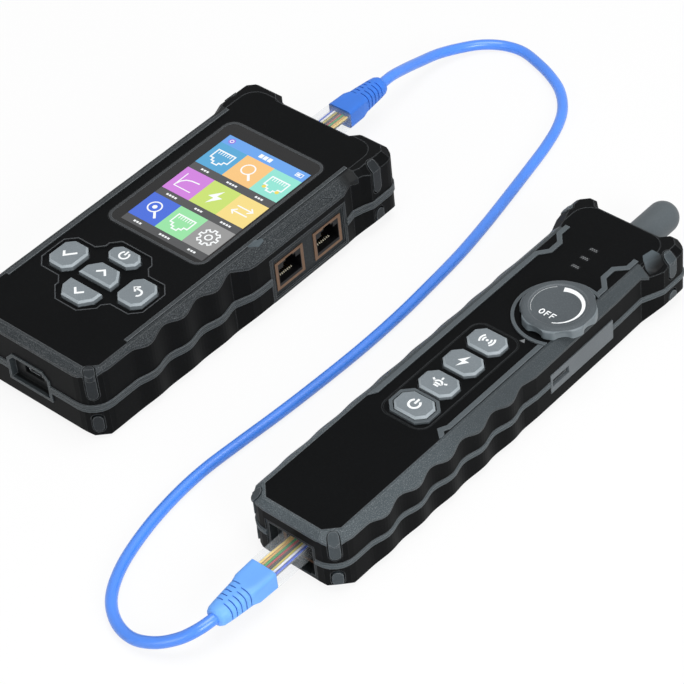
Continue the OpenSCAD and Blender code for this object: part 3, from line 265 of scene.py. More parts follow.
@dataclass(frozen=True)
class Finish:
    """A finish with a name of its own; each kind of finish fills in the shader."""

    name: str
    colour: str

    def material(self) -> bpy.types.Material:
        """Finds or makes this finish's material.

        Returns:
            The material, made at its first use.
        """
        title = f"{self.name}_finish"
        found = bpy.data.materials.get(title)
        if found:
            return found
        made = bpy.data.materials.new(title)
        made.use_nodes = True
        shader = made.node_tree.nodes["Principled BSDF"]
        shader.inputs["Base Color"].default_value = opaque(self.colour)
        made.diffuse_color = opaque(self.colour)
        self.dress(Wiring(made.node_tree), shader)
        return made

    def dress(self, wire: Wiring, shader: bpy.types.Node) -> None:
        """Sets the shader's sockets and adds this finish's nodes.

        Args:
            wire: The material's node tree.
            shader: The Principled shader.
        """

    def shaded(self, wire: Wiring, plain: Socket) -> Socket:
        """Changes the plain colour by its place on the piece.

        Args:
            wire: The material's node tree.
            plain: The colour that the grain gives.

        Returns:
            The colour that the shader is given.
        """
        return plain

    def grained(self, wire: Wiring, shader: bpy.types.Node, group: bpy.types.ShaderNodeTree,
                values: dict[str, float], depth: float, edge: float, edge_sheen: float = 0.0) -> None:
        """Places a shared group before the shader, with its height as a bump over rounded edges.

        Args:
            wire: The material's node tree.
            shader: The Principled shader.
            group: The shared group.
            values: The group's float inputs.
            depth: How deep the bump is, in millimetres.
            edge: Radius of the rounded edges, in millimetres; none where it is 0.
            edge_sheen: How much lighter the rounded edges are painted, a painted highlight along them, from 0
                to 1.
        """
        inputs = {**values, "Colour": opaque(self.colour), "Vector": wire.place()}
        grain = wire.add("Group", inputs, node_tree=group)
        colour = grain.outputs["Colour"]
        height = grain.outputs["Height"]
        bump = wire.add("Bump", {"Distance": depth * MM, "Strength": 0.6, "Height": height})
        if edge:
            rounding = wire.add("Bevel", {"Radius": edge * MM}, samples=4).outputs["Normal"]
            wire.fit(bump, {"Normal": rounding})
            # Painted highlight: where the rounded normal turns away from the flat one, the colour is blended
            # towards pale grey.
            if edge_sheen:
                flat = wire.add("NewGeometry", {}).outputs["Normal"]
                turn = wire.add("VectorMath", {0: rounding, 1: flat}, operation="DOT_PRODUCT")
                sheen_share = wire.ramp(turn.outputs["Value"], 0.995, 0.9, high=edge_sheen)
                colour = wire.blend(sheen_share, colour, (0.4, 0.43, 0.45, 1))
        wire.fit(shader, {"Base Color": self.shaded(wire, colour), "Roughness": grain.outputs["Roughness"],
                          "Normal": bump.outputs["Normal"]})


@dataclass(frozen=True)
class Moulded(Finish):
    """Moulded plastic or rubber with a grain and softened edges, with depth and edge in millimetres."""

    roughness: float = 0.5
    scale: float = 1500.0
    depth: float = 0.04
    speck: float = 0.0
    edge: float = 0.0
    gloss: float = 0.4
    coat: float = 0.0
    # Share of the painted highlight along the rounded edges.
    edge_sheen: float = 0.0

    def dress(self, wire: Wiring, shader: bpy.types.Node) -> None:
        """Adds the mould grain."""
        wire.fit(shader, {"Specular IOR Level": self.gloss, "Coat Weight": self.coat, "Coat Roughness": 0.12})
        values = {"Grain Scale": self.scale, "Speck": self.speck, "Roughness": self.roughness}
        self.grained(wire, shader, ShaderGroups.mould_grain(), values, self.depth, self.edge, self.edge_sheen)


@dataclass(frozen=True)
class Fading(Moulded):
    """A moulded finish with painted shade: it fades to a darker colour along an axis, between two places in
    millimetres.
    """

    axis: str = "X"
    start: float = 0.0
    end: float = 1.0
    shade: str = "121415"
    most: float = 1.0

    def shaded(self, wire: Wiring, plain: Socket) -> Socket:
        """Adds the fade, which is painted shade."""
        share = wire.ramp(wire.axes()[self.axis], self.start * MM, self.end * MM, high=self.most,
                          how="SMOOTHSTEP")
        return wire.blend(share, plain, opaque(self.shade))


@dataclass(frozen=True)
class RecessedBand(Moulded):
    """The seam band, with painted shade darkening it in the charging recess."""

    recess: tuple[Point, Point] = ((-58.25, 9.7), (-99.0, 4.4))
    shade: str = "0f1112"

    def shaded(self, wire: Wiring, plain: Socket) -> Socket:
        """Paints shade into the recess, given by its middle and half size along X and Y."""
        axes = wire.axes()
        off = [wire.apart(axes[axis], *place) for axis, place in zip("XY", self.recess)]
        return wire.blend(wire.ramp(wire.math("MAXIMUM", *off), 0.98, 1.04), opaque(self.shade), plain)


@dataclass(frozen=True)
class FramedJack(Moulded):
    """The moulding of a socket: bronze on its front frame and black inside, placed in millimetres."""

    roughness: float = 0.4
    depth: float = 0.02
    speck: float = 0.02
    edge: float = 0.1
    gloss: float = 0.2
    axis: str = "X"
    front: float = 0.0
    way: float = 1.0
    middles: tuple[float, ...] = (0.0,)
    level: float = 14.6
    half: Point = (6.15, 5.25)
    inside: str = "08080a"

    def shaded(self, wire: Wiring, plain: Socket) -> Socket:
        """Tells the front frame from the inside by its place.

        Args:
            wire: The material's node tree.
            plain: The frame's colour.

        Returns:
            The colour that the shader is given.
        """
        axes = wire.axes()
        depth = wire.ramp(axes[self.axis], (self.front - self.way * 0.3) * MM,
                          (self.front - self.way * 0.1) * MM)
        across = axes["Y" if self.axis == "X" else "X"]
        reach, *others = (wire.apart(across, middle, self.half[0]) for middle in self.middles)
        for other in others:
            reach = wire.math("MINIMUM", reach, other)
        reach = wire.math("MAXIMUM", reach, wire.apart(axes["Z"], self.level, self.half[1]))
        frame_part = wire.math("MULTIPLY", depth, wire.ramp(reach, 1.0, 1.03))
        return wire.blend(frame_part, opaque(self.inside), plain)


@dataclass(frozen=True)
class Metal(Finish):
    """Drawn or plated metal."""

    roughness: float = 0.25
    depth: float = 0.01
    edge: float = 0.1

    def dress(self, wire: Wiring, shader: bpy.types.Node) -> None:
        """Adds the fine scratches."""
        wire.fit(shader, {"Metallic": 1.0})
        values = {"Roughness": self.roughness}
        self.grained(wire, shader, ShaderGroups.brushed(), values, self.depth, self.edge)


@dataclass(frozen=True)
class Clear(Finish):
    """Clear moulded plastic that shows more of itself where it is seen edge on."""

    roughness: float = 0.05
    least: float = 0.03
    most: float = 0.5

    def dress(self, wire: Wiring, shader: bpy.types.Node) -> None:
        """Lets most light through the flat faces and less through the edges."""
        facing = wire.add("LayerWeight", {"Blend": 0.2}).outputs["Facing"]
        cloud = wire.ramp(wire.noise(wire.place(), 260.0), low=-0.03, high=0.05)
        body = wire.math("ADD", wire.ramp(facing, low=self.least, high=self.most), cloud, use_clamp=True)
        wire.fit(shader, {"IOR": 1.5, "Roughness": self.roughness, "Specular IOR Level": 0.6, "Alpha": body})


@dataclass(frozen=True)
class Lit(Finish):
    """A patch of a lit screen behind its glossy window, with its fine rows of dots."""

    strength: float = 0.78

    def dress(self, wire: Wiring, shader: bpy.types.Node) -> None:
        """Makes the patch glow evenly, with faint rows."""
        rgb = linear(self.colour)
        rows = wire.add("TexWave", {"Vector": wire.place(), "Scale": 1500.0}, bands_direction="Y")
        glow = wire.toned(rgb, wire.ramp(rows.outputs["Fac"], low=0.94, high=1.04))
        wire.fit(shader, {"Base Color": (*(c * 0.25 for c in rgb), 1), "Roughness": 0.25, "Coat Weight": 0.5,
                          "Coat Roughness": 0.05, "Emission Strength": self.strength, "Emission Color": glow})


class Palette:
    """All finishes of the object."""

    SHELL = Moulded("shell_black", "0a0b0c", roughness=0.42, depth=0.02, speck=0.004, edge=0.5, gloss=0.03,
                    edge_sheen=0.1)
    GRIP = Moulded("grip_rubber", "0b0c0d", roughness=0.45, speck=0.004, edge=0.6, gloss=0.04, edge_sheen=0.2)
    TRIM = Moulded("trim_grey", "1c2023", scale=3600.0, depth=0.1, speck=0.45, edge=0.3, gloss=0.2, edge_sheen=0.2)
    RAIL = Moulded("rail_grey", "4a5155", speck=0.04, edge=0.4, gloss=0.25, edge_sheen=0.2)
    STRIP = Moulded("strip_grey", "2b3033", scale=2200.0, speck=0.12, edge=0.4, gloss=0.25, edge_sheen=0.4)
    # The tester's seam band, with painted shade in its charging recess.
    FOOT_BAND = RecessedBand("foot_band_grey", "33393c", roughness=0.45, speck=0.04, edge=0.4, gloss=0.25,
                             edge_sheen=0.3)
    # Painted highlight for the facet patches, fading along X into painted shade across the receiver's facet.
    FACET_HIGHLIGHT = Fading("facet_painted_highlight", "4f585d", roughness=0.4, speck=0.02, gloss=0.12, start=89.5, end=95.0,
                   shade="08090a")
    # The receiver's chamfer trim fades darker towards its head: painted shade over the trim grey.
    RECEIVER_TRIM = Fading("receiver_trim_grey", "3b4347", roughness=0.48, scale=3000.0, depth=0.08,
                           speck=0.3, edge=0.3, gloss=0.25, edge_sheen=0.2, axis="Y", start=-70.0, end=-20.0,
                           shade="2b3033", most=0.6)
    RECEIVER_BAND = Moulded("receiver_band_grey", "40484c", roughness=0.45, speck=0.04, edge=0.4,
                            gloss=0.25, edge_sheen=0.3)
    RECEIVER_INSERT = Moulded("receiver_insert_grey", "343b3f", roughness=0.42, speck=0.04, edge=0.5,
                              gloss=0.25, edge_sheen=0.3)
    # The tester's chamfer trim fades darker towards its head end: painted shade over the trim grey.
    TESTER_TRIM = Fading("tester_trim_grey", "1d2225", scale=3600.0, depth=0.1, speck=0.3, edge=0.3,
                         gloss=0.2, edge_sheen=0.2, axis="Y", start=27.0, end=33.5, shade="0e1011")
    BAY = Moulded("bay_grey", "202426", roughness=0.45, speck=0.04, edge=0.4, gloss=0.15, edge_sheen=0.25)
    PANEL = Moulded("panel_grey", "5d6367", roughness=0.42, speck=0.04, edge=0.4, gloss=0.3, edge_sheen=0.15)
    INSERT = Moulded("insert_grey", "1c2023", roughness=0.42, speck=0.02, edge=0.5, gloss=0.18, edge_sheen=0.25)
    KEY = Moulded("key_grey", "727a7f", roughness=0.42, scale=2000.0, speck=0.14, edge=0.3, gloss=0.3,
                  edge_sheen=0.2)
    # A lighter copy of the key grey for the key bevels: a painted highlight.
    KEY_BEVEL_HIGHLIGHT = Moulded("key_bevel_painted_highlight", "969fa4", roughness=0.36, scale=2000.0, speck=0.1, edge=0.3,
                    gloss=0.35)
    # A lighter copy of the dial grey for its sides: a painted highlight.
    DIAL_SIDE_HIGHLIGHT = Moulded("dial_side_painted_highlight", "666f74", roughness=0.35, scale=2000.0, speck=0.04, edge=0.3,
                        gloss=0.5)
    DIAL = Moulded("dial_grey", "474d51", scale=2000.0, speck=0.06, edge=0.5, gloss=0.25, edge_sheen=0.4)
    PROBE = Moulded("probe_grey", "4f565a", roughness=0.45, speck=0.03, edge=0.5, gloss=0.3)
    SIDE_JACK = FramedJack("side_jack_moulding", "6e5440", axis="X", front=-21.95, middles=(-3.5, 17.7))
    HEAD_JACK = FramedJack("head_jack_moulding", "6e5440", axis="Y", front=54.3, middles=(-66.25, -50.25))
    FOOT_JACK = FramedJack("foot_jack_moulding", "6e5440", axis="Y", front=-103.2, way=-1.0, middles=(72.15,),
                           level=10.2)
    LENS = Moulded("lens_black", "0f0f10", roughness=0.2, depth=0.002, edge=0.2, gloss=0.25, coat=0.05)
    RIM = Moulded("lens_rim_grey", "2b2e31", roughness=0.4, speck=0.05, edge=0.2, gloss=0.3, edge_sheen=0.3)
    SMOKE = Moulded("smoked_window", "2a2b2d", roughness=0.25, speck=0.02, edge=0.2, gloss=0.3)
    DOT = Moulded("lamp_dot_grey", "6b6e70", roughness=0.35)
    TORCH = Clear("torch_clear", "f2f6f8", roughness=0.08, least=0.35)
    BOARD = Moulded("board_green", "1d5a34", roughness=0.35, scale=400.0, speck=0.08)
    SWITCH = Moulded("switch_black", "222222", roughness=0.4, speck=0.02, edge=0.2)
    FOIL = Metal("foil_silver", "c9ccd0", roughness=0.3)
    CELL = Moulded("cell_blue", "2a4f9a", roughness=0.25, speck=0.01, edge=0.4)
    STEEL = Metal("steel", "b5b8bb")
    SCREW = Metal("screw_steel", "6c6e70")
    GOLD = Metal("contact_gold", "e8bf62", roughness=0.18)
    COPPER = Metal("copper", "b5652f")
    CLEAR = Clear("clear_plastic", "dfe6ea")
    CORD = Moulded("cord_blue", "4384ea", roughness=0.3, depth=0.02, gloss=0.6, coat=0.25)
    BOOT = Moulded("boot_blue", "3577dc", roughness=0.4, depth=0.02, edge=0.3)
    # A lighter copy of the boot blue for the receiver's boot, which lies in brighter light: painted light.
    BOOT_LIT_COPY = Moulded("boot_blue_painted_light", "66a2ee", roughness=0.42, depth=0.02, edge=0.3)
    # Dark load bar under the plug wires: a load bar whose dark colour is painted shade between the wires.
    LOAD_BAR_SHADE = Moulded("load_bar_shade_grey", "3c3a36", speck=0.02)
    # Pale contact tips: a painted glint that stands in for light on gold contacts.
    PIN_GLINT = Moulded("pin_painted_glint", "f6eed6", roughness=0.3, gloss=0.8)
    # Darker blue in the boot's slots: painted shade.
    SLOT = Moulded("boot_slot_painted_shade", "163f9c", depth=0.01, gloss=0.2)
    INK = Moulded("white_ink", "eef1f2", depth=0.01)

    SLOTS = {
        "shell_black": SHELL, "grip_rubber": GRIP, "trim_grey": TRIM, "bay_grey": BAY,
        "panel_grey": PANEL, "insert_grey": INSERT, "key_grey": KEY, "dial_grey": DIAL,
        "probe_grey": PROBE, "jack_bronze": SIDE_JACK, "lens_black": LENS, "board_green": BOARD,
        "switch_black": SWITCH, "foil_silver": FOIL, "cell_blue": CELL, "steel": STEEL,
        "screw_steel": SCREW, "contact_gold": GOLD, "copper": COPPER, "clear_plastic": CLEAR,
        "cord_blue": CORD, "lcd_glass": LENS, "wire_orange": CORD,
    }
    NODES = {
        "tester_seam_band": FOOT_BAND, "tester_chamfer_trim": TESTER_TRIM,
        "receiver_seam_band": RECEIVER_BAND, "receiver_chamfer_trim": RECEIVER_TRIM,
        "receiver_corner_inserts": RECEIVER_INSERT, "tester_face_trims": STRIP,
        "receiver_face_trims": RAIL, "tester_head_jacks": HEAD_JACK, "receiver_jack": FOOT_JACK,
        "receiver_indicator_pipes": SMOKE, "receiver_torch_lens": TORCH,
    }


def dress_frame() -> None:
    """Gives every CAD node the finish of its slot."""
    slots = {s["node"]: s["material_slot"] for s in frame["record"]["subparts"]}
    for name, node in frame["nodes"].items():
        finish = Palette.NODES.get(name, Palette.SLOTS[slots[name]])
        for holder in node.material_slots:
            holder.material = finish.material()
        log.info("frame node %s wears %s", name, finish.name)


# ---------------------------------------------------------------- mesh tools


class Sculpt:
    """A mesh in the making, in millimetres in the frame of one unit."""

    def __init__(self, origin: Vector | None = None) -> None:
        """Starts an empty mesh whose zero lies at origin, in millimetres in the row frame."""
        self.bm = bmesh.new()
        self.origin = origin or Vector((0, 0, 0))

    def _paint(self, before: set[bmesh.types.BMFace], slot: int) -> None:
        """Gives a material slot to all faces made since before."""
        for face in self.bm.faces:
            if face not in before:
                face.material_index = slot

    def _raise(self, faces: list[bmesh.types.BMFace], height: float) -> set[bmesh.types.BMVert]:
        """Extrudes faces upwards.

        Args:
            faces: The faces.
            height: How far they go.

        Returns:
            The corners of the new tops.
        """
        grown = bmesh.ops.extrude_face_region(self.bm, geom=faces)["geom"]
        top = {v for v in grown if isinstance(v, bmesh.types.BMVert)}
        bmesh.ops.translate(self.bm, verts=list(top), vec=(0, 0, height))
        return top

    def prism(self, outline: list[Point], z0: float, z1: float, edge: float = 0.0, slot: int = 0,
              segments: int = 3) -> None:
        """Adds an upright prism, with its top edges rounded.

        Args:
            outline: Its corners from above.
            z0: Height of its bottom.
            z1: Height of its top.
            edge: Radius of its top edges.
            slot: Material slot of its faces.
            segments: Steps of the rounding.
        """
        before = set(self.bm.faces)
        base = self.bm.faces.new([self.bm.verts.new((x, y, z0)) for x, y in outline])
        top = self._raise([base], z1 - z0)
        if edge:
            rim = [e for e in self.bm.edges if all(v in top for v in e.verts)]
            bmesh.ops.bevel(self.bm, geom=rim, offset=edge, offset_type="OFFSET",
                            segments=segments, profile=0.5, affect="EDGES", material=-1)
        self._paint(before, slot)

    def stroke(self, line: list[Point], width: float, z0: float, z1: float, closed: bool = False,
               slot: int = 0) -> None:
        """Adds a raised line of even width with mitred bends.

        Args:
            line: The points that its middle runs through.
            width: Its width.
            z0: Height of its bottom.
            z1: Height of its top.
            closed: Whether it ends where it starts.
            slot: Material slot of its faces.
        """
        before = set(self.bm.faces)
        pts = [Vector(p) for p in line]
        count = len(pts)
        rows = []
        for i, p in enumerate(pts):
            if closed:
                a, b = (pts[(i + 1) % count] - p).normalized(), (p - pts[i - 1]).normalized()
            else:
                a = (pts[min(i + 1, count - 1)] - pts[min(i, count - 2)]).normalized()
                b = (pts[max(i, 1)] - pts[max(i - 1, 0)]).normalized()
            na, nb = Vector((-a.y, a.x)), Vector((-b.y, b.x))
            off = (na + nb) * (width / 2) / max(0.4, 1 + na.dot(nb))
            rows.append([self.bm.verts.new((*(p + s * off), z0)) for s in (-1, 1)])
        pairs = list(zip(rows, rows[1:] + rows[:1] if closed else rows[1:]))
        self._raise([self.bm.faces.new((r[0], q[0], q[1], r[1])) for r, q in pairs], z1 - z0)
        self._paint(before, slot)

    def rod(self, start: Vector, end: Vector, radius: float, slot: int = 0, sides: int = 24) -> None:
        """Adds a round bar from start to end.

        Args:
            start: The middle of one end.
            end: The middle of the other.
            radius: Its radius.
            slot: Material slot of its faces.
            sides: How many sides stand for the round.
        """
        before = set(self.bm.faces)
        along = end - start
        turn = along.to_track_quat("Z", "Y").to_matrix().to_4x4()
        where = Matrix.Translation((start + end) / 2) @ turn
        bmesh.ops.create_cone(self.bm, cap_ends=True, segments=sides, radius1=radius, radius2=radius,
                              depth=along.length, matrix=where)
        self._paint(before, slot)

    def ring(self, segments: int, place: Callable[[float], Vector]) -> list[bmesh.types.BMEdge]:
        """Adds a closed ring whose corners lie where a function of their angle says.

        Args:
            segments: The number of its corners.
            place: Gives a corner's place from its angle in radians.

        Returns:
            The ring's edges, in order.
        """
        made = bmesh.ops.create_circle(self.bm, cap_ends=False, radius=1.0, segments=segments)["verts"]
        for v in made:
            v.co = place(math.atan2(v.co.y, v.co.x))
        return list(dict.fromkeys(e for v in made for e in v.link_edges))

    def finish(self, name: str, body: str, finishes: list[Finish], slot_name: str,
               replaces: tuple[str, ...] = (), smooth: bool = True) -> bpy.types.Object:
        """Makes the mesh an object in the row frame, in metres, that rides on a body.

        Args:
            name: The piece's name.
            body: The CAD body that it rides on.
            finishes: A finish for each material slot.
            slot_name: The record's material slot; not used.
            replaces: CAD nodes that it stands for.
            smooth: Whether its gentle edges are shaded smooth.

        Returns:
            The new object.
        """
        bmesh.ops.translate(self.bm, verts=self.bm.verts, vec=self.origin)
        bmesh.ops.scale(self.bm, verts=self.bm.verts, vec=(MM, MM, MM))
        bmesh.ops.recalc_face_normals(self.bm, faces=self.bm.faces)
        mesh = bpy.data.meshes.new(name)
        self.bm.to_mesh(mesh)
        self.bm.free()
        for finish in finishes:
            mesh.materials.append(finish.material())
        piece = show(name, mesh)
        if smooth:
            for poly in mesh.polygons:
                poly.use_smooth = True
            mesh.set_sharp_from_angle(angle=math.radians(32))
        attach(piece, body)
        if replaces:
            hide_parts(*replaces)
        log.info("%s: %d faces on %s", name, len(mesh.polygons), body)
        return piece


def arc(x: float, y: float, r: float, a0: float, a1: float, n: int = 12) -> list[Point]:
    """Places points on a round arc.

    Args:
        x: Its middle along X.
        y: Its middle along Y.
        r: Its radius.
        a0: The angle where it starts, in degrees.
        a1: The angle where it ends.
        n: The number of its steps.

    Returns:
        The points from its start to its end.
    """
    return [
        (x + r * math.cos(math.radians(a0 + (a1 - a0) * i / n)),
         y + r * math.sin(math.radians(a0 + (a1 - a0) * i / n)))
        for i in range(n + 1)
    ]


def rounded(x0: float, y0: float, x1: float, y1: float, r: float, n: int = 6) -> list[Point]:
    """Corners of a rectangle with round corners."""
    return (arc(x1 - r, y0 + r, r, -90, 0, n) + arc(x1 - r, y1 - r, r, 0, 90, n)
            + arc(x0 + r, y1 - r, r, 90, 180, n) + arc(x0 + r, y0 + r, r, 180, 270, n))


def circle(x: float, y: float, r: float, n: int = 23) -> list[Point]:
    """Corners of a round outline."""
    return arc(x, y, r, 0, 345, n)


def rectangle(x0: float, y0: float, x1: float, y1: float) -> list[Point]:
    """Corners of a rectangle."""
    return [(x0, y0), (x1, y0), (x1, y1), (x0, y1)]


@dataclass
class Pen:
    """Draws printed marks and screen symbols on a flat face at height z, as thin raised lines and fills."""

    work: Sculpt
    centre: Point
    z: float
    width: float
    size: float = 1.0
    slot: int = 1
    thick: float = 0.05

    def _at(self, points: list[Point]) -> list[Point]:
        """Points in the unit's frame."""
        return [(self.centre[0] + x * self.size, self.centre[1] + y * self.size) for x, y in points]

    def line(self, points: list[Point], closed: bool = False, width: float | None = None) -> None:
        """Draws a line through points."""
        top = self.z + self.thick
        self.work.stroke(self._at(points), width or self.width, self.z, top, closed, self.slot)

    def fill(self, points: list[Point]) -> None:
        """Fills an outline."""
        self.work.prism(self._at(points), self.z, self.z + self.thick, slot=self.slot)

    def dot(self, x: float, y: float, r: float) -> None:
        """Draws a round dot."""
        self.fill(circle(x, y, r))

    def power(self) -> None:
        """A ring open at its top with a bar in the gap."""
        self.line(arc(0, 0, 1, 125, 415, 24))
        self.line([(0, 0.05), (0, 1.3)])

    def check(self) -> None:
        """A check mark."""
        self.line([(-1.2, 0.1), (-0.35, -0.85), (1.35, 1.0)])

    def chevron(self, way: float) -> None:
        """An open arrowhead that points along Y."""
        self.line([(-1.15, -0.5 * way), (0, 0.6 * way), (1.15, -0.5 * way)])

    def back(self) -> None:
        """A return arrow."""
        self.line([(-0.25, 1.35), (-1.15, 0.55), (-0.25, -0.25)])
        self.line([(-1.0, 0.55), (0.4, 0.55)] + arc(0.4, -0.3, 0.85, 80, -70, 10))

    def waves(self) -> None:
        """A signal: a dot with two arcs on each side."""
        self.dot(0, 0, 0.3)
        for r in (0.85, 1.5):
            self.line(arc(0, 0, r, -42, 42, 8))
            self.line(arc(0, 0, r, 138, 222, 8))

    def bolt(self) -> None:
        """A lightning bolt."""
        self.fill([(0.35, 1.45), (-0.95, -0.2), (-0.1, -0.2), (-0.35, -1.45), (0.95, 0.25), (0.1, 0.25)])

    def lamp(self) -> None:
        """A lit lamp: a dome with rays."""
        self.line(arc(0, -0.35, 0.75, 0, 180, 12) + [(-0.75, -0.35), (0.75, -0.35)])
        self.line([(-0.5, -0.85), (0.5, -0.85)])
        for turn in (25, 90, 155):
            c, d = math.cos(math.radians(turn)), math.sin(math.radians(turn))
            self.line([(1.1 * c, 1.1 * d - 0.35), (1.65 * c, 1.65 * d - 0.35)])

    def socket(self) -> None:
        """The outline of a network socket with its six pins."""
        self.line([(-1.4, 1.1), (1.4, 1.1), (1.4, -0.5), (0.85, -0.5), (0.85, -0.95), (0.4, -0.95),
                   (0.4, -1.35), (-0.4, -1.35), (-0.4, -0.95), (-0.85, -0.95), (-0.85, -0.5),
                   (-1.4, -0.5)], closed=True)
        for i in range(6):
            x = 0.38 * (i - 2.5)
            self.line([(x, 1.0), (x, 0.45)], width=self.width * 0.6)

    def lens(self) -> None:
        """A magnifying glass."""
        self.line(circle(-0.25, 0.3, 0.9), closed=True)
        self.line([(0.42, -0.42), (1.2, -1.3)], width=self.width * 1.7)

    def graph(self) -> None:
        """Two axes with a rising curve."""
        self.line([(-1.3, 1.4), (-1.3, -1.2), (1.4, -1.2)], width=self.width * 0.75)
        self.line([(-1.3, -1.0), (-1.05, -0.2), (-0.6, 0.3), (0.1, 0.55), (1.3, 0.65)])

    def arrows(self) -> None:
        """Two arrows that pass each other."""
        for way in (-1, 1):
            self.line([(-1.2 * way, 0.5 * way), (1.2 * way, 0.5 * way)])
            self.line([(0.7 * way, 1.0 * way), (1.25 * way, 0.5 * way), (0.7 * way, 0.0)])

    def gear(self) -> None:
        """A toothed wheel with a hole."""
        rim = []
        for i in range(8):
            a = i * 45
            for turn, r in ((-13, 1.05), (-9, 1.4), (9, 1.4), (13, 1.05)):
                rim += arc(0, 0, r, a + turn, a + turn, 1)[:1]
        self.line(rim, closed=True)
        self.line(circle(0, 0, 0.45, 18), closed=True)

    def dashes(self, widths: tuple[float, ...], height: float) -> None:
        """A row of short bars that stands where small print would.

        Args:
            widths: The width of each bar.
            height: The height of all.
        """
        gap = 0.4
        x = -(sum(widths) + gap * (len(widths) - 1)) / 2
        for w in widths:
            self.fill(rectangle(x, -height / 2, x + w, height / 2))
            x += w + gap


# ---------------------------------------------------------------- keys


class Sign(Enum):
    """What is printed on a key."""

    CHECK = "check"
    POWER = "power"
    UP = "up"
    DOWN = "down"
    BACK = "back"
    WAVES = "waves"
    BOLT = "bolt"
    LAMP = "lamp"


@dataclass(frozen=True)
class Key:
    """One key: its node and body, place, outline and sign."""

    name: str
    node: str
    body: str
    place: Point
    outline: tuple[Point, ...]
    sign: Sign
    sign_size: float
    line: float


def octagon(w: float, h: float, c: float) -> tuple[Point, ...]:
    """A rectangle with cut corners."""
    return ((w / 2 - c, -h / 2), (w / 2, -h / 2 + c), (w / 2, h / 2 - c), (w / 2 - c, h / 2),
            (-w / 2 + c, h / 2), (-w / 2, h / 2 - c), (-w / 2, -h / 2 + c), (-w / 2 + c, -h / 2))


@dataclass
class Keypad:
    """The keys of one unit, each on its own body.

    The caps stand up to top over the unit's face, with a skirt under the face that is wider by flange.
    """

    origin: Vector
    top: float
    face: float
    keys: list[Key]
    bevel: float = 0.75
    flange: float = 0.8
    skirt_top: float = 0.3
    skirt_foot: float = 1.1
    cap_foot: float = 0.5
    stem_radius: float = 2.0

    def build(self) -> None:
        """Makes every key with its skirt, stem and printed sign."""
        for key in self.keys:
            low, _ = (Vector(v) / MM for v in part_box(key.node))
            work = Sculpt(self.origin)
            cx, cy = key.place
            reach = max(math.hypot(x, y) for x, y in key.outline)
            cap, skirt = ([(cx + x * grow, cy + y * grow) for x, y in key.outline]
                          for grow in (1.0, 1 + self.flange / reach))
            high = self.face - self.skirt_top
            work.rod(Vector((cx, cy, low.z)), Vector((cx, cy, high)), self.stem_radius)
            work.prism(skirt, self.face - self.skirt_foot, high)
            work.prism(cap, self.face - self.cap_foot, self.top, edge=self.bevel, segments=1)
            # The sloped bevel faces near the top take slot 2, the lighter key grey that is a painted
            # highlight.
            for part in work.bm.faces:
                part.normal_update()
                if 0.3 < abs(part.normal.z) < 0.95 and part.calc_center_median().z > self.top - self.bevel:
                    part.material_index = 2
            pen = Pen(work, key.place, self.top - 0.02, key.line, key.sign_size)
            self.print_sign(pen, key.sign)
            finishes = [Palette.KEY, Palette.INK, Palette.KEY_BEVEL_HIGHLIGHT]
            work.finish(key.name, key.body, finishes, "key_grey", (key.node,))

    @staticmethod
    def print_sign(pen: Pen, sign: Sign) -> None:
        """Prints a key's sign.

        Args:
            pen: A pen at the middle of the key.
            sign: What it prints.
        """
        if sign in (Sign.UP, Sign.DOWN):
            pen.chevron(1.0 if sign is Sign.UP else -1.0)
        else:
            getattr(pen, sign.value)()


HOUSE = ((8, -4.4), (8, 0), (4.4, 4.4), (-4.4, 4.4), (-8, 0), (-8, -4.4))


def tester_keypad() -> Keypad:
    """Lists the five keys under the screen.

    Returns:
        The tester's keypad.
    """
    big, flat = octagon(12.2, 14, 2.9), octagon(14, 7.8, 2.6)
    return Keypad(TESTER, 34.6, 30.8, [
        Key("ok_key_cap", "tester_key_ok", "ok_key", (-19.0, 42.4), big, Sign.CHECK, 2.0, 0.95),
        Key("power_key_cap", "tester_key_power", "power_key", (-1.2, 53.8), flat, Sign.POWER, 1.9, 0.75),
        Key("up_key_cap", "tester_key_up", "up_key", (-1.2, 42.4), HOUSE, Sign.UP, 2.0, 0.9),
        Key("down_key_cap", "tester_key_down", "down_key", (-1.2, 29.6),
            tuple((x, -y) for x, y in reversed(HOUSE)), Sign.DOWN, 2.0, 0.9),
        Key("back_key_cap", "tester_key_back", "back_key", (16.6, 42.4), big, Sign.BACK, 1.9, 0.85),
    ])


def receiver_keypad() -> Keypad:
    """Lists the four keys in the receiver's row.

    Returns:
        The receiver's keypad.
    """
    outline = octagon(15, 10.8, 3)
    rows = (("trace", Sign.WAVES, 1.9, 0.75), ("detect", Sign.BOLT, 2.3, 0.8),
            ("lamp", Sign.LAMP, 2.1, 0.75), ("power", Sign.POWER, 2.1, 0.9))
    keys = []
    for i, (name, sign, size, line) in enumerate(rows):
        body = "receiver_power_key" if name == "power" else f"{name}_key"
        keys.append(Key(f"receiver_{name}_cap", f"receiver_key_{name}", body, (0, 106 - 13.3 * i),
                        outline, sign, size, line))
    return Keypad(RECEIVER, 27.8, 24.2, keys)


# ---------------------------------------------------------------- the dial


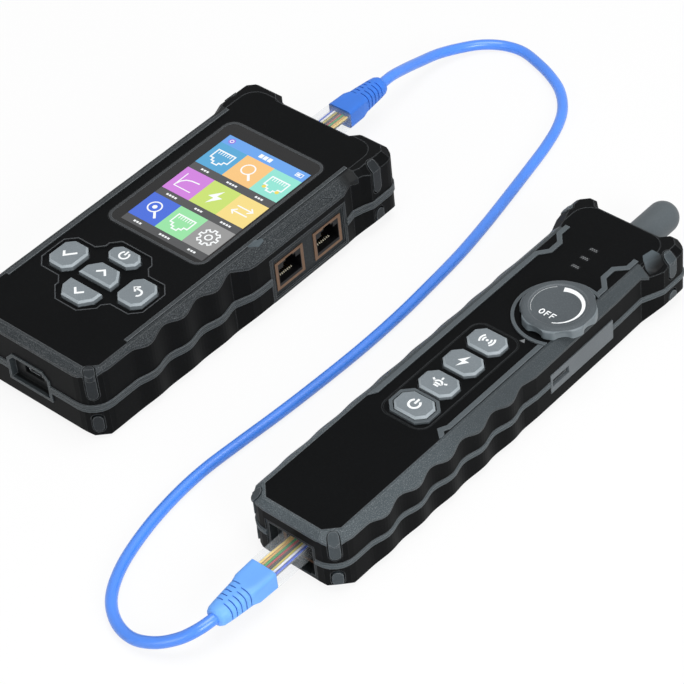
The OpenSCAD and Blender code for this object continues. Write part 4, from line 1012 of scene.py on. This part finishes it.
@dataclass
class Dial:
    """The receiver's scalloped dial with its sunk top, tapering arc and off mark.

    Each row of its profile says how far a ring lies under the rim's height, how far it stands in from
    the side, and how much of the scoops it follows.
    """

    place: Point = (10.9, 132.9)
    radius: float = 14.1
    high: float = 31.0
    scoops: int = 8
    scoop_radius: float = 4.6
    scoop_centre: float = 17.0
    first_scoop: float = 22.5
    segments: int = 144
    side_top: float = 0.8
    print_depth: float = 0.41
    profile: tuple[tuple[float, float, float], ...] = (
        (4.5, 0.0, 1.0), (2.6, 0.0, 1.0), (2.0, 0.0, 0.9), (1.5, 0.0, 0.65), (1.1, 0.1, 0.35),
        (0.7, 0.5, 0.12), (0.3, 1.05, 0.0), (0.1, 1.5, 0.0), (0.0, 2.0, 0.0), (0.0, 3.1, 0.0),
        (0.05, 3.3, 0.0), (0.35, 3.55, 0.0), (0.4, 3.75, 0.0))
    arc_start: float = 114
    arc_end: float = -67
    arc_steps: int = 40

    def rim(self, turn: float) -> float:
        """How far the scooped side reaches at an angle, in millimetres.

        Args:
            turn: The angle in radians, from the middle between two scoops.

        Returns:
            The distance from the dial's middle.
        """
        step = 2 * math.pi / self.scoops
        off = turn % step - step / 2
        inside = self.scoop_radius**2 - (self.scoop_centre * math.sin(off)) ** 2
        if inside <= 0:
            return self.radius
        return min(self.radius, self.scoop_centre * math.cos(off) - math.sqrt(inside))

    def build(self) -> None:
        """Makes the dial by bridging rings from its foot to the middle of its top."""
        work = Sculpt(RECEIVER)
        bm = work.bm
        cx, cy = self.place

        def corner(turn: float, drop: float, inset: float, scoop: float) -> Vector:
            """Places a corner of a ring.

            Args:
                turn: The angle in radians.
                drop: How far the ring lies under the rim's height.
                inset: How far it stands in from the side.
                scoop: How much of the scoops it follows.

            Returns:
                The corner in the receiver's frame.
            """
            side = self.rim(turn - math.radians(self.first_scoop))
            r = self.radius - inset - scoop * (self.radius - side)
            return Vector((cx + r * math.cos(turn), cy + r * math.sin(turn), self.high - drop))

        rings = [work.ring(self.segments, lambda turn, row=row: corner(turn, *row)) for row in self.profile]
        for lower, upper in zip(rings, rings[1:]):
            bmesh.ops.bridge_loops(bm, edges=lower + upper)
        bmesh.ops.holes_fill(bm, edges=rings[0] + rings[-1], sides=0)
        # The side below the top edge takes slot 2, the lighter dial grey that is a painted highlight.
        for face in bm.faces:
            face.material_index = 2 if face.calc_center_median().z < self.high - self.side_top else 0
        level = self.high - self.print_depth
        pen = Pen(work, self.place, level, 0.55)
        outer = arc(0, 0, 9.6, self.arc_start, self.arc_end, self.arc_steps)
        inner = []
        for i in range(self.arc_steps + 1):
            share = i / self.arc_steps
            inner += arc(0, 0, 7.35 + 1.95 * (1 - share) ** 0.8,
                         self.arc_end + (self.arc_start - self.arc_end) * share, 0, 1)[:1]
        pen.fill(outer + inner)
        pen.line(arc(0, 0, 9.9, 130, 232, 30), width=0.08)
        self.off_mark(Pen(work, (cx - 0.3, cy - 5.9), level, 0.44))
        finishes = [Palette.DIAL, Palette.INK, Palette.DIAL_SIDE_HIGHLIGHT]
        work.finish("dial_cap", "dial", finishes, "dial_grey", ("receiver_dial",))

    @staticmethod
    def off_mark(pen: Pen) -> None:
        """Prints the word OFF.

        Args:
            pen: A pen at the middle of the word.
        """
        pen.line([(x * 0.78 - 2.5, y * 1.15) for x, y in circle(0, 0, 1)], closed=True)
        for x in (-0.65, 1.75):
            pen.line([(x, -1.35), (x, 1.15), (x + 1.45, 1.15)])
            pen.line([(x, 0.0), (x + 1.2, 0.0)])


# ---------------------------------------------------------------- the screen


@dataclass
class Screen:
    """The lit menu: a header bar and three rows of tiles with their label strips.

    It is built up from the window in layers: a ground, patches on it and signs on those.
    """

    centre: Point = (2.0, 99.8)
    width: float = 41.9
    height: float = 60.3
    header: float = 5.2
    tile: float = 14.5
    label: float = 3.9
    z: float = 33.01
    layer: float = 0.02
    tiles: tuple[tuple[str, ...], ...] = (
        ("3a9ccd", "f0bd72", "86dccb"), ("c873d6", "c0d860", "eed47a"), ("1f5ad2", "8cda9a", "8a8a8a"))
    signs: tuple[tuple[str, ...], ...] = (
        ("socket", "lens", "socket"), ("graph", "bolt", "arrows"), ("lens", "socket", "gear"))

    def build(self) -> None:
        """Makes the picture as thin layers on the window."""
        work = Sculpt(TESTER)
        glow = [Lit("lit_strip", "303134"), Lit("lit_header", "569ae6"), Lit("lit_white", "f2f5f6"),
                Lit("lit_violet", "8a6ad8"), Lit("lit_yellow", "e8d24a")]
        first = len(glow)
        for r, row in enumerate(self.tiles):
            glow += [Lit(f"lit_tile_{r}{c}", code) for c, code in enumerate(row)]
        x0, x1 = self.centre[0] - self.width / 2, self.centre[0] + self.width / 2
        y0, y1 = self.centre[1] - self.height / 2, self.centre[1] + self.height / 2
        work.prism(rounded(x0, y0, x1, y1, 0.3, 2), self.z, self.z + self.layer)
        top = y1 - self.header
        self.patch(work, x0, top, x1, y1, 1)
        self.header_signs(work, x0, x1, (top + y1) / 2)
        step = self.width / 3
        for r, row in enumerate(self.signs):
            low = top - self.tile - r * (self.tile + self.label)
            for c, sign in enumerate(row):
                left = x0 + c * step
                self.patch(work, left, low, left + step, low + self.tile, first + 3 * r + c)
                middle = (left + step / 2, low + self.tile / 2)
                getattr(self.pen(work, middle, 0.6, 3.1), sign)()
                self.extras(work, middle, r, c)
                small = self.pen(work, (middle[0], low - self.label / 2), 0.4, layer=1)
                small.dashes((1.0,) * (4 if (r + c) % 2 else 3), 0.9)
        work.finish("screen_picture", ROOT, glow, "lcd_glass", smooth=False)

    def pen(self, work: Sculpt, place: Point, width: float, size: float = 1.0, slot: int = 2,
            layer: int = 2) -> Pen:
        """A pen that draws on a layer; it draws thinly on the signs themselves."""
        thick = self.layer / 2 if layer > 2 else self.layer
        return Pen(work, place, self.z + layer * self.layer, width, size, slot, thick)

    def patch(self, work: Sculpt, x0: float, y0: float, x1: float, y1: float, slot: int) -> None:
        """Lays one coloured rectangle."""
        work.prism(rectangle(x0, y0, x1, y1), self.z + self.layer, self.z + 2 * self.layer, slot=slot)

    def header_signs(self, work: Sculpt, x0: float, x1: float, y: float) -> None:
        """Draws the round menu mark, the title bars and the battery in the header.

        Args:
            work: The mesh that they go into.
            x0: Where the header starts along X.
            x1: Where it ends.
            y: Its middle along Y.
        """
        self.pen(work, (x0 + 3.4, y), 0.5, slot=3).dot(0, 0, 1.5)
        self.pen(work, (x0 + 3.4, y), 0.35, 0.75, layer=3).line(circle(0, 0, 1, 16), closed=True)
        self.pen(work, ((x0 + x1) / 2, y), 0.4).dashes((1.8, 1.8, 1.8), 2.1)
        cell = self.pen(work, (x1 - 3.6, y), 0.35)
        cell.line(rectangle(-1.5, -0.9, 1.5, 0.9), closed=True)
        cell.fill(rectangle(-1.1, -0.5, 0.4, 0.5))

    def extras(self, work: Sculpt, middle: Point, row: int, column: int) -> None:
        """Adds the small extras of some symbols: two socket lamps and a dot in the glass.

        Args:
            work: The mesh that they go into.
            middle: The middle of a tile.
            row: The tile's row from the top.
            column: Its column from the left.
        """
        if (row, column) == (0, 2):
            lamps = self.pen(work, middle, 0.5, 3.1, slot=4, layer=3)
            for x in (-1.05, 1.05):
                lamps.dot(x, -0.9, 0.28)
        if (row, column) == (2, 0):
            self.pen(work, middle, 0.7, 3.1).dot(-0.25, 0.3, 0.33)


# ---------------------------------------------------------------- small face details


@dataclass
class FaceDetails:
    """The rims, socket contacts, printed pointer, indicator dots and facets of both cases; the contact tips
    carry a painted glint and the facets a painted highlight.
    """

    lens_width: float = 50.4
    lens_length: float = 71.5
    lens_middle: float = 102.0
    rim_inset: float = 0.75
    rim_corner: float = 4.3
    face: float = 32.9
    keypad_middle: Point = (-1.2, 42.4)
    keypad_line: tuple[Point, ...] = (
        (13.2, -9.6), (22.2, -9.6), (26, -5.8), (26, 5.8), (22.2, 9.6), (14, 9.6), (11, 12.6), (11, 14.4),
        (7.6, 17.8), (-7.6, 17.8), (-11, 14.4), (-11, 12.4), (-13.8, 9.6), (-22.6, 9.6), (-26.4, 5.8),
        (-26.4, -5.8), (-22.6, -9.6), (-13.6, -9.6), (-10.8, -12.4), (-10.8, -14.2), (-5.4, -19.4),
        (5.4, -19.4), (10.8, -14.2), (10.8, -12))
    socket_middles: Point = (100.8, 122.0)
    pin_pitch: float = 1.016
    pin_size: Point = (0.7, 0.34)
    pin_edge: float = 32.6
    lamp_rows: tuple[float, ...] = (156.6, 162.1, 167.6)
    lamp_pitch: float = 0.9
    lamp_radius: float = 0.24
    facet_gap: float = 0.02
    facet_thick: float = 0.05
    facet_drop: float = 0.25

    def build(self) -> None:
        """Makes the rims, the contacts with their painted glint, the marks and the facets with their painted
        highlight.
        """
        self.rims()
        self.contacts()
        self.marks()
        # Pale patches laid on the slopes near the heads: painted highlights.
        self.facet("tester_highlight_facet", TESTER, ("tester_chamfer_trim", "tester_front_shell", "tester_face_trims"),
                   [(31.4, 85.3), (31.1, 89.0), (32.4, 92.2), (33.6, 91.7), (34.0, 88.4), (32.5, 85.9)])
        self.facet("receiver_highlight_facet", RECEIVER,
                   ("receiver_chamfer_trim", "receiver_front_shell", "receiver_front_grip",
                    "receiver_corner_inserts"),
                   [(16.1, 175.6), (16.9, 180.2), (20.0, 180.2), (23.6, 178.4), (23.4, 175.2), (22.0, 172.0),
                    (20.3, 171.9), (18.0, 173.4)])

    def rims(self) -> None:
        """Makes the rim round the window and the line round the keys."""
        work = Sculpt(TESTER)
        x, y = self.lens_width / 2 - self.rim_inset, self.lens_length / 2 - self.rim_inset
        frame_line = rounded(-x, self.lens_middle - y, x, self.lens_middle + y, self.rim_corner, 8)
        work.stroke(frame_line, 1.1, self.face, self.face + 0.16, closed=True)
        cx, cy = self.keypad_middle
        key_line = [(x + cx, y + cy) for x, y in self.keypad_line]
        work.stroke(key_line, 0.4, self.face, self.face + 0.13, closed=True)
        work.finish("window_rim", ROOT, [Palette.RIM], "panel_grey")

    def contacts(self) -> None:
        """Makes the bright tips of the eight contacts in each side socket; their pale colour is a painted
        glint on the gold contacts.
        """
        work = Sculpt(TESTER)
        long, wide = self.pin_size
        for middle in self.socket_middles:
            for i in range(8):
                y = middle + (i - 3.5) * self.pin_pitch
                work.prism(rectangle(self.pin_edge, y - wide / 2, self.pin_edge + long, y + wide / 2),
                           10.75, 11.2)
        work.finish("socket_pins", ROOT, [Palette.PIN_GLINT], "contact_gold")

    def marks(self) -> None:
        """Makes the dial's pointer and the three pairs of rows of indicator dots."""
        work = Sculpt(RECEIVER)
        Pen(work, (9.3, 114.6), 26.18, 0.3, slot=0, thick=0.06).fill([(-1.1, -0.8), (1.1, -0.8), (0, 1.1)])
        for y in self.lamp_rows:
            for count, shift in ((4, -0.3), (3, 0.35)):
                pen = Pen(work, (0, y + shift), 26.28, 0.2, slot=0)
                for i in range(count):
                    pen.dot(self.lamp_pitch * (i - (count - 1) / 2), 0, self.lamp_radius)
        work.finish("face_marks", ROOT, [Palette.DOT], "panel_grey")

    def facet(self, name: str, origin: Vector, nodes: tuple[str, ...], outline: list[Point]) -> None:
        """Lays a thin smooth facet on the case, down to whichever of its solids is on top; its colour is a
        painted highlight that fades into painted shade.

        Where no solid lies under a corner, it takes the height of its highest neighbour.

        Args:
            name: The piece's name.
            origin: The unit's place.
            nodes: The CAD nodes that it may lie on.
            outline: Its corners from above.
        """
        seen = bpy.context.evaluated_depsgraph_get()
        cases = [BVHTree.FromObject(frame["nodes"][n], seen) for n in nodes]
        work = Sculpt(origin)
        bm = work.bm
        face = bm.faces.new([bm.verts.new((x, y, 0)) for x, y in outline])
        bmesh.ops.triangulate(bm, faces=[face])
        bmesh.ops.subdivide_edges(bm, edges=bm.edges[:], cuts=5, use_grid_fill=True)
        heights = {}
        for v in bm.verts:
            start = (v.co + origin) * MM + Vector((0, 0, 0.1))
            hits = [case.ray_cast(start, Vector((0, 0, -1)))[0] for case in cases]
            heights[v] = max([h.z / MM + self.facet_gap for h in hits if h], default=0.0)
        for _ in range(4):
            for v in bm.verts:
                heights[v] = heights[v] or max(heights[e.other_vert(v)] for e in v.link_edges)
        for v in bm.verts:
            around = [heights[e.other_vert(v)] - self.facet_drop for e in v.link_edges]
            v.co.z = max([heights[v], *around])
        grown = bmesh.ops.extrude_face_region(bm, geom=bm.faces[:])["geom"]
        for part in grown:
            if isinstance(part, bmesh.types.BMVert):
                part.co.z += self.facet_thick
        work.finish(name, ROOT, [Palette.FACET_HIGHLIGHT], "trim_grey")


# ---------------------------------------------------------------- the cord


@dataclass
class PatchCord:
    """The blue patch cord, its two boots, clear plugs and coloured wires.

    Each row of the boot's profile says how far a ring lies from the plug, its half width, its half
    height and how square it is.
    """

    diameter: float = 4.4
    plug_length: float = 32.0
    boot_length: float = 25.0
    wire_pitch: float = 1.016
    wire_radius: float = 0.45
    wire_height: float = 0.85
    wire_end_gap: float = 3.7
    bar_half: float = 4.3
    bar_length: float = 26.0
    slot_count: int = 5
    slot_pitch: float = 2.15
    slot_starts: tuple[tuple[int, float], ...] = ((-1, 10.9), (1, 11.9))
    slot_half: tuple[float, float] = (0.18, 0.22)
    slot_depth: float = 0.62
    slot_edge: float = 0.55
    boot_profile: tuple[tuple[float, ...], ...] = (
        (0.0, 5.72, 4.1, 9.0), (8.2, 5.5, 4.1, 8.0), (9.6, 5.25, 4.1, 5.0), (11.0, 5.05, 4.1, 3.6),
        (21.0, 4.35, 3.98, 2.5), (23.4, 4.1, 3.9, 2.2), (24.5, 3.6, 3.5, 2.0), (25.0, 2.8, 2.8, 2.0),
        (25.01, 2.22, 2.22, 2.0))
    route: tuple[Place, ...] = tuple((x + TESTER.x + 58.7, y, z) for x, y, z in (
        (-66.7, 99.3, 15.2), (-67, 107, 15), (-68, 116, 12.5), (-69, 127, 9), (-69, 138, 6),
        (-66, 148, 4), (-61, 156, 3), (-54, 161.5, 2.2), (-45, 163, 2.2), (-35, 160.5, 2.2),
        (-25, 156.5, 2.2), (-16, 151, 2.2), (-8, 142.5, 2.2), (-2.5, 132, 2.2), (1.5, 119, 2.2),
        (5, 103, 2.2), (8.5, 86, 2.2), (12, 68, 2.2), (15, 49, 2.2), (17, 29, 2.2), (18.5, 9, 2.2),
        (19, -12, 2.2), (18.5, -34, 2.2), (17.5, -55, 2.2), (16, -75, 2.2), (15, -93, 2.2),
        (16, -110, 2.2), (19, -127, 2.2), (24, -143, 2.2), (31, -155, 2.2), (40, -162, 2.2),
        (50, -164.5, 3), (59, -162.5, 5), (66, -158, 7.6), (70.2, -152.6, 10), (71.7, -146, 10.8)))
    wires: tuple[tuple[str, str], ...] = (
        ("blue", "3a5fd0"), ("white", "f0f0f2"), ("olive", "c9b93c"), ("brown", "3a2a20"),
        ("red", "b8302a"), ("green", "2f9440"), ("orange", "e2b04a"), ("cream", "f0d070"))

    def ends(self) -> list[tuple[Vector, float]]:
        """Where each plug's rear is, and the way it faces: along +Y as 1, along -Y as -1."""
        low, high = (Vector(v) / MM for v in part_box("cord_wires"))
        (ax, _, az), (bx, _, bz) = self.route[0], self.route[-1]
        return [(Vector((ax, high.y, az)), 1.0), (Vector((bx, low.y, bz)), -1.0)]

    def jacket(self) -> bpy.types.Object:
        """Makes the round jacket as one open spline along the route.

        Returns:
            The jacket.
        """
        data = bpy.data.curves.new("patch_cord_jacket", "CURVE")
        data.dimensions = "3D"
        data.bevel_depth = self.diameter / 2 * MM
        data.bevel_resolution = 5
        data.resolution_u = 6
        spline = data.splines.new("BEZIER")
        pts = [Vector(p) for p in self.route]
        pts[0], pts[-1] = (rear + Vector((0, way * self.boot_length, 0)) for rear, way in self.ends())
        spline.bezier_points.add(len(pts) - 1)
        for i, (knot, p) in enumerate(zip(spline.bezier_points, pts)):
            step = (pts[min(i + 1, len(pts) - 1)] - pts[max(i - 1, 0)]) / 6
            if i in (0, len(pts) - 1):
                step = Vector((0, step.length, 0))
            knot.handle_left_type = knot.handle_right_type = "FREE"
            knot.co = p * MM
            knot.handle_left = (p - step) * MM
            knot.handle_right = (p + step) * MM
        data.materials.append(Palette.CORD.material())
        piece = show("patch_cord_jacket", data)
        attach(piece, ROOT)
        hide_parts("cord_jacket")
        return piece

    def length(self, piece: bpy.types.Object) -> float:
        """Measures the jacket's middle line.

        Args:
            piece: The jacket.

        Returns:
            The length in metres.
        """
        total, knots = 0.0, piece.data.splines[0].bezier_points
        for a, b in zip(knots, knots[1:]):
            last = a.co
            for k in range(1, 13):
                t = k / 12
                p = ((1 - t) ** 3 * a.co + 3 * (1 - t) ** 2 * t * a.handle_right
                     + 3 * (1 - t) * t * t * b.handle_left + t ** 3 * b.co)
                total += (p - last).length
                last = p
        return total

    def boot(self, name: str, rear: Vector, way: float, coat: Finish,
             hides: tuple[str, ...]) -> bpy.types.Object:
        """Makes a boot: a flat-sided sleeve that narrows to a ribbed round neck.

        Args:
            name: The piece's name.
            rear: The middle of the plug's rear face.
            way: The way that the boot points along Y.
            coat: Its finish.
            hides: CAD nodes that it stands for.

        Returns:
            The boot.
        """
        work = Sculpt(rear)
        bm = work.bm
        places = [(row[0], 0) for row in self.boot_profile]
        floor, mouth = self.slot_half
        for i in range(self.slot_count):
            for side, start in self.slot_starts:
                y = start + i * self.slot_pitch
                places += [(y - mouth, 0), (y - floor, side), (y + floor, side), (y + mouth, 0)]
        rings = [(work.ring(56, lambda turn, y=y, side=side: self.boot_corner(turn, y, side, way)), side)
                 for y, side in sorted(places)]
        for (lower, side_a), (upper, side_b) in zip(rings, rings[1:]):
            before = set(bm.faces)
            bmesh.ops.bridge_loops(bm, edges=lower + upper)
            # Faces deep in a slot take slot 1, a darker blue that is painted shade.
            for face in set(bm.faces) - before:
                deep = side_a and side_b and side_a * face.calc_center_median().x > 0.8
                face.material_index = 1 if deep else 0
        bmesh.ops.holes_fill(bm, edges=rings[0][0] + rings[-1][0], sides=0)
        return work.finish(name, ROOT, [coat, Palette.SLOT], "cord_blue", hides)

    def boot_corner(self, turn: float, y: float, side: int, way: float) -> Vector:
        """Where the boot's surface is, from the middle of the plug's rear face.

        Args:
            turn: The angle round the cord.
            y: How far along the boot it is.
            side: The side that a slot is cut into there, -1 or 1, or 0 for none.
            way: The way that the boot points along Y.

        Returns:
            The place in millimetres.
        """
        shape = self.boot_profile
        k = max(i for i, row in enumerate(shape) if row[0] <= y)
        low, high = shape[k], shape[min(k + 1, len(shape) - 1)]
        share = (y - low[0]) / max(high[0] - low[0], 0.001)
        a, b, power = (low[i] + (high[i] - low[i]) * share for i in (1, 2, 3))
        c, d = math.cos(turn), math.sin(turn)
        reach = (abs(c) ** power + abs(d) ** power) ** (-1 / power)
        x, z = a * reach * c, b * reach * d
        if side * x > self.slot_edge:
            deep = self.slot_depth * min(1.0, (side * x - self.slot_edge) / 0.5) / math.hypot(x, z)
            x, z = x * (1 - deep), z * (1 - deep)
        return Vector((x, y * way, z))

    def strands(self) -> bpy.types.Object:
        """Makes the eight insulated wires inside each clear plug.

        Returns:
            The wires with the load bars that hold them; the bars' dark colour is painted shade between the
            wires.
        """
        work = Sculpt()
        for rear, way in self.ends():
            for i in range(len(self.wires)):
                x = (i - 3.5) * self.wire_pitch * way
                spread, lift = x * 1.06, self.wire_height
                run = [rear + Vector((px, -way * py, pz)) for px, py, pz in (
                    (spread, 0.1, lift + 0.25 * (i % 2)), (spread * 0.99, 8.0, lift + 0.2 * (i % 2)),
                    (x, 15.0, lift), (x, self.plug_length - self.wire_end_gap, lift))]
                for a, b in zip(run, run[1:]):
                    work.rod(a, b, self.wire_radius, slot=i, sides=12)
            # A dark load bar under each plug's wires; its colour is painted shade that shows between them.
            bar = rectangle(rear.x - self.bar_half, rear.y - way * 0.2,
                            rear.x + self.bar_half, rear.y - way * self.bar_length)
            work.prism(bar, rear.z + 0.32, rear.z + 0.55, slot=8)
        coats = [Moulded(f"wire_{n}", c, roughness=0.35) for n, c in self.wires]
        return work.finish("wire_strands", ROOT, [*coats, Palette.LOAD_BAR_SHADE], "wire_orange", ("cord_wires",))

    def build(self) -> None:
        jacket = self.jacket()
        (rear_a, way_a), (rear_b, way_b) = self.ends()
        boots = [self.boot("boot_tester", rear_a, way_a, Palette.BOOT, ("cord_boots",)),
                 # The receiver's boot wears the lighter copy of the boot blue, painted light.
                 self.boot("boot_receiver", rear_b, way_b, Palette.BOOT_LIT_COPY, ())]
        strands = self.strands()
        exit_at = jacket.data.splines[0].bezier_points[0].co
        tuple(exit_at)
        round(self.length(jacket), 3)


# ---------------------------------------------------------------- view and light


@dataclass(frozen=True)
class Studio:
    """The camera, lamps and pale floor."""

    target: Place = (9.19, -9.59, 0.0)
    azimuth: float = 45.58
    elevation: float = 42.64
    roll: float = -6.36
    distance: float = 1024.12
    lens: float = 145.55
    shift: Point = (-0.0046, -0.0054)
    sky_light: float = 0.3
    floor_half: float = 6.0
    floor_drop: float = 0.0003
    floor_tone: float = 0.86
    floor_white: float = 0.88

    def camera(self) -> None:
        """Stands the camera at its place and makes it the scene's camera."""
        az, el, ro = (math.radians(v) for v in (self.azimuth, self.elevation, self.roll))
        back = Vector((math.sin(az) * math.cos(el), -math.cos(az) * math.cos(el), math.sin(el)))
        right = (-back).cross(Vector((0, 0, 1))).normalized()
        up = right.cross(-back)
        right, up = (right * math.cos(ro) + up * math.sin(ro), up * math.cos(ro) - right * math.sin(ro))
        data = bpy.data.cameras.new("camera")
        data.lens = self.lens
        data.sensor_width = 36.0
        data.shift_x, data.shift_y = self.shift
        data.clip_end = 10.0
        camera = show("camera", data)
        place = Vector(self.target) * MM + back * self.distance * MM
        camera.matrix_world = Matrix.Translation(place) @ Matrix((right, up, back)).transposed().to_4x4()
        bpy.context.scene.camera = camera

    def lamp(self, name: str, place: Place, size: float, power: float) -> None:
        """Hangs a square soft lamp that points at the middle.

        Args:
            name: Its name.
            place: Where it hangs, in metres.
            size: The length of its sides.
            power: Its power in watts.
        """
        data = bpy.data.lights.new(name, "AREA")
        data.size = size
        data.energy = power
        turn = Vector(place).to_track_quat("Z", "Y").to_matrix().to_4x4()
        show(name, data).matrix_world = Matrix.Translation(place) @ turn

    def world(self) -> None:
        """Makes the surroundings white where the camera sees them and softer as a light."""
        world = bpy.data.worlds.new("studio")
        bpy.context.scene.world = world
        world.use_nodes = True
        wire = Wiring(world.node_tree)
        level = wire.add("Mix", {"Factor": self.seen(wire), "A": self.sky_light, "B": 1.0})
        wire.fit(world.node_tree.nodes["Background"],
                 {"Color": (1, 1, 1, 1), "Strength": level.outputs["Result"]})

    @staticmethod
    def seen(wire: Wiring) -> Socket:
        """Returns 1 for the rays that show a background (camera, glossy, transmission) and 0 for others."""
        rays = wire.add("LightPath", {}).outputs
        shown = wire.math("MAXIMUM", rays["Is Camera Ray"], rays["Is Glossy Ray"])
        return wire.math("MAXIMUM", shown, rays["Is Transmission Ray"])

    def floor(self) -> None:
        """Lays the pale floor."""
        bm = bmesh.new()
        bmesh.ops.create_grid(bm, x_segments=1, y_segments=1, size=self.floor_half)
        bmesh.ops.translate(bm, verts=bm.verts, vec=(0, 0, -self.floor_drop))
        mesh = bpy.data.meshes.new("studio_floor")
        bm.to_mesh(mesh)
        bm.free()
        paint = bpy.data.materials.new("studio_floor")
        paint.use_nodes = True
        wire, nodes = Wiring(paint.node_tree), paint.node_tree.nodes
        grey = self.floor_tone
        matt = wire.fit(nodes["Principled BSDF"],
                        {"Base Color": (grey, grey, grey, 1), "Roughness": 0.9, "Specular IOR Level": 0.0})
        white = wire.add("Emission", {})
        mix = wire.add("MixShader", {"Fac": wire.math("MULTIPLY", self.seen(wire), self.floor_white),
                                     1: matt.outputs["BSDF"], 2: white.outputs["Emission"]})
        wire.fit(nodes["Material Output"], {"Surface": mix.outputs["Shader"]})
        mesh.materials.append(paint)
        show("studio_floor", mesh)

    def build(self) -> None:
        """Sets the whole studio up."""
        self.camera()
        self.lamp("top_softbox", (0.2, 0.1, 1.4), 0.9, 13.0)
        self.lamp("right_softbox", (1.2, -0.3, 0.6), 0.6, 10.0)
        self.lamp("foot_fill", (0.1, -1.4, 0.6), 0.8, 5.0)
        self.world()
        self.floor()
        bpy.context.scene.view_settings.view_transform = "Standard"


def main() -> None:
    """Builds every piece in order."""
    logging.basicConfig(level=logging.INFO, format="%(message)s")
    Studio().build()
    PatchCord().build()
    tester_keypad().build()
    receiver_keypad().build()
    Dial().build()
    Screen().build()
    FaceDetails().build()
    dress_frame()


if __name__ == "__main__":
    main()
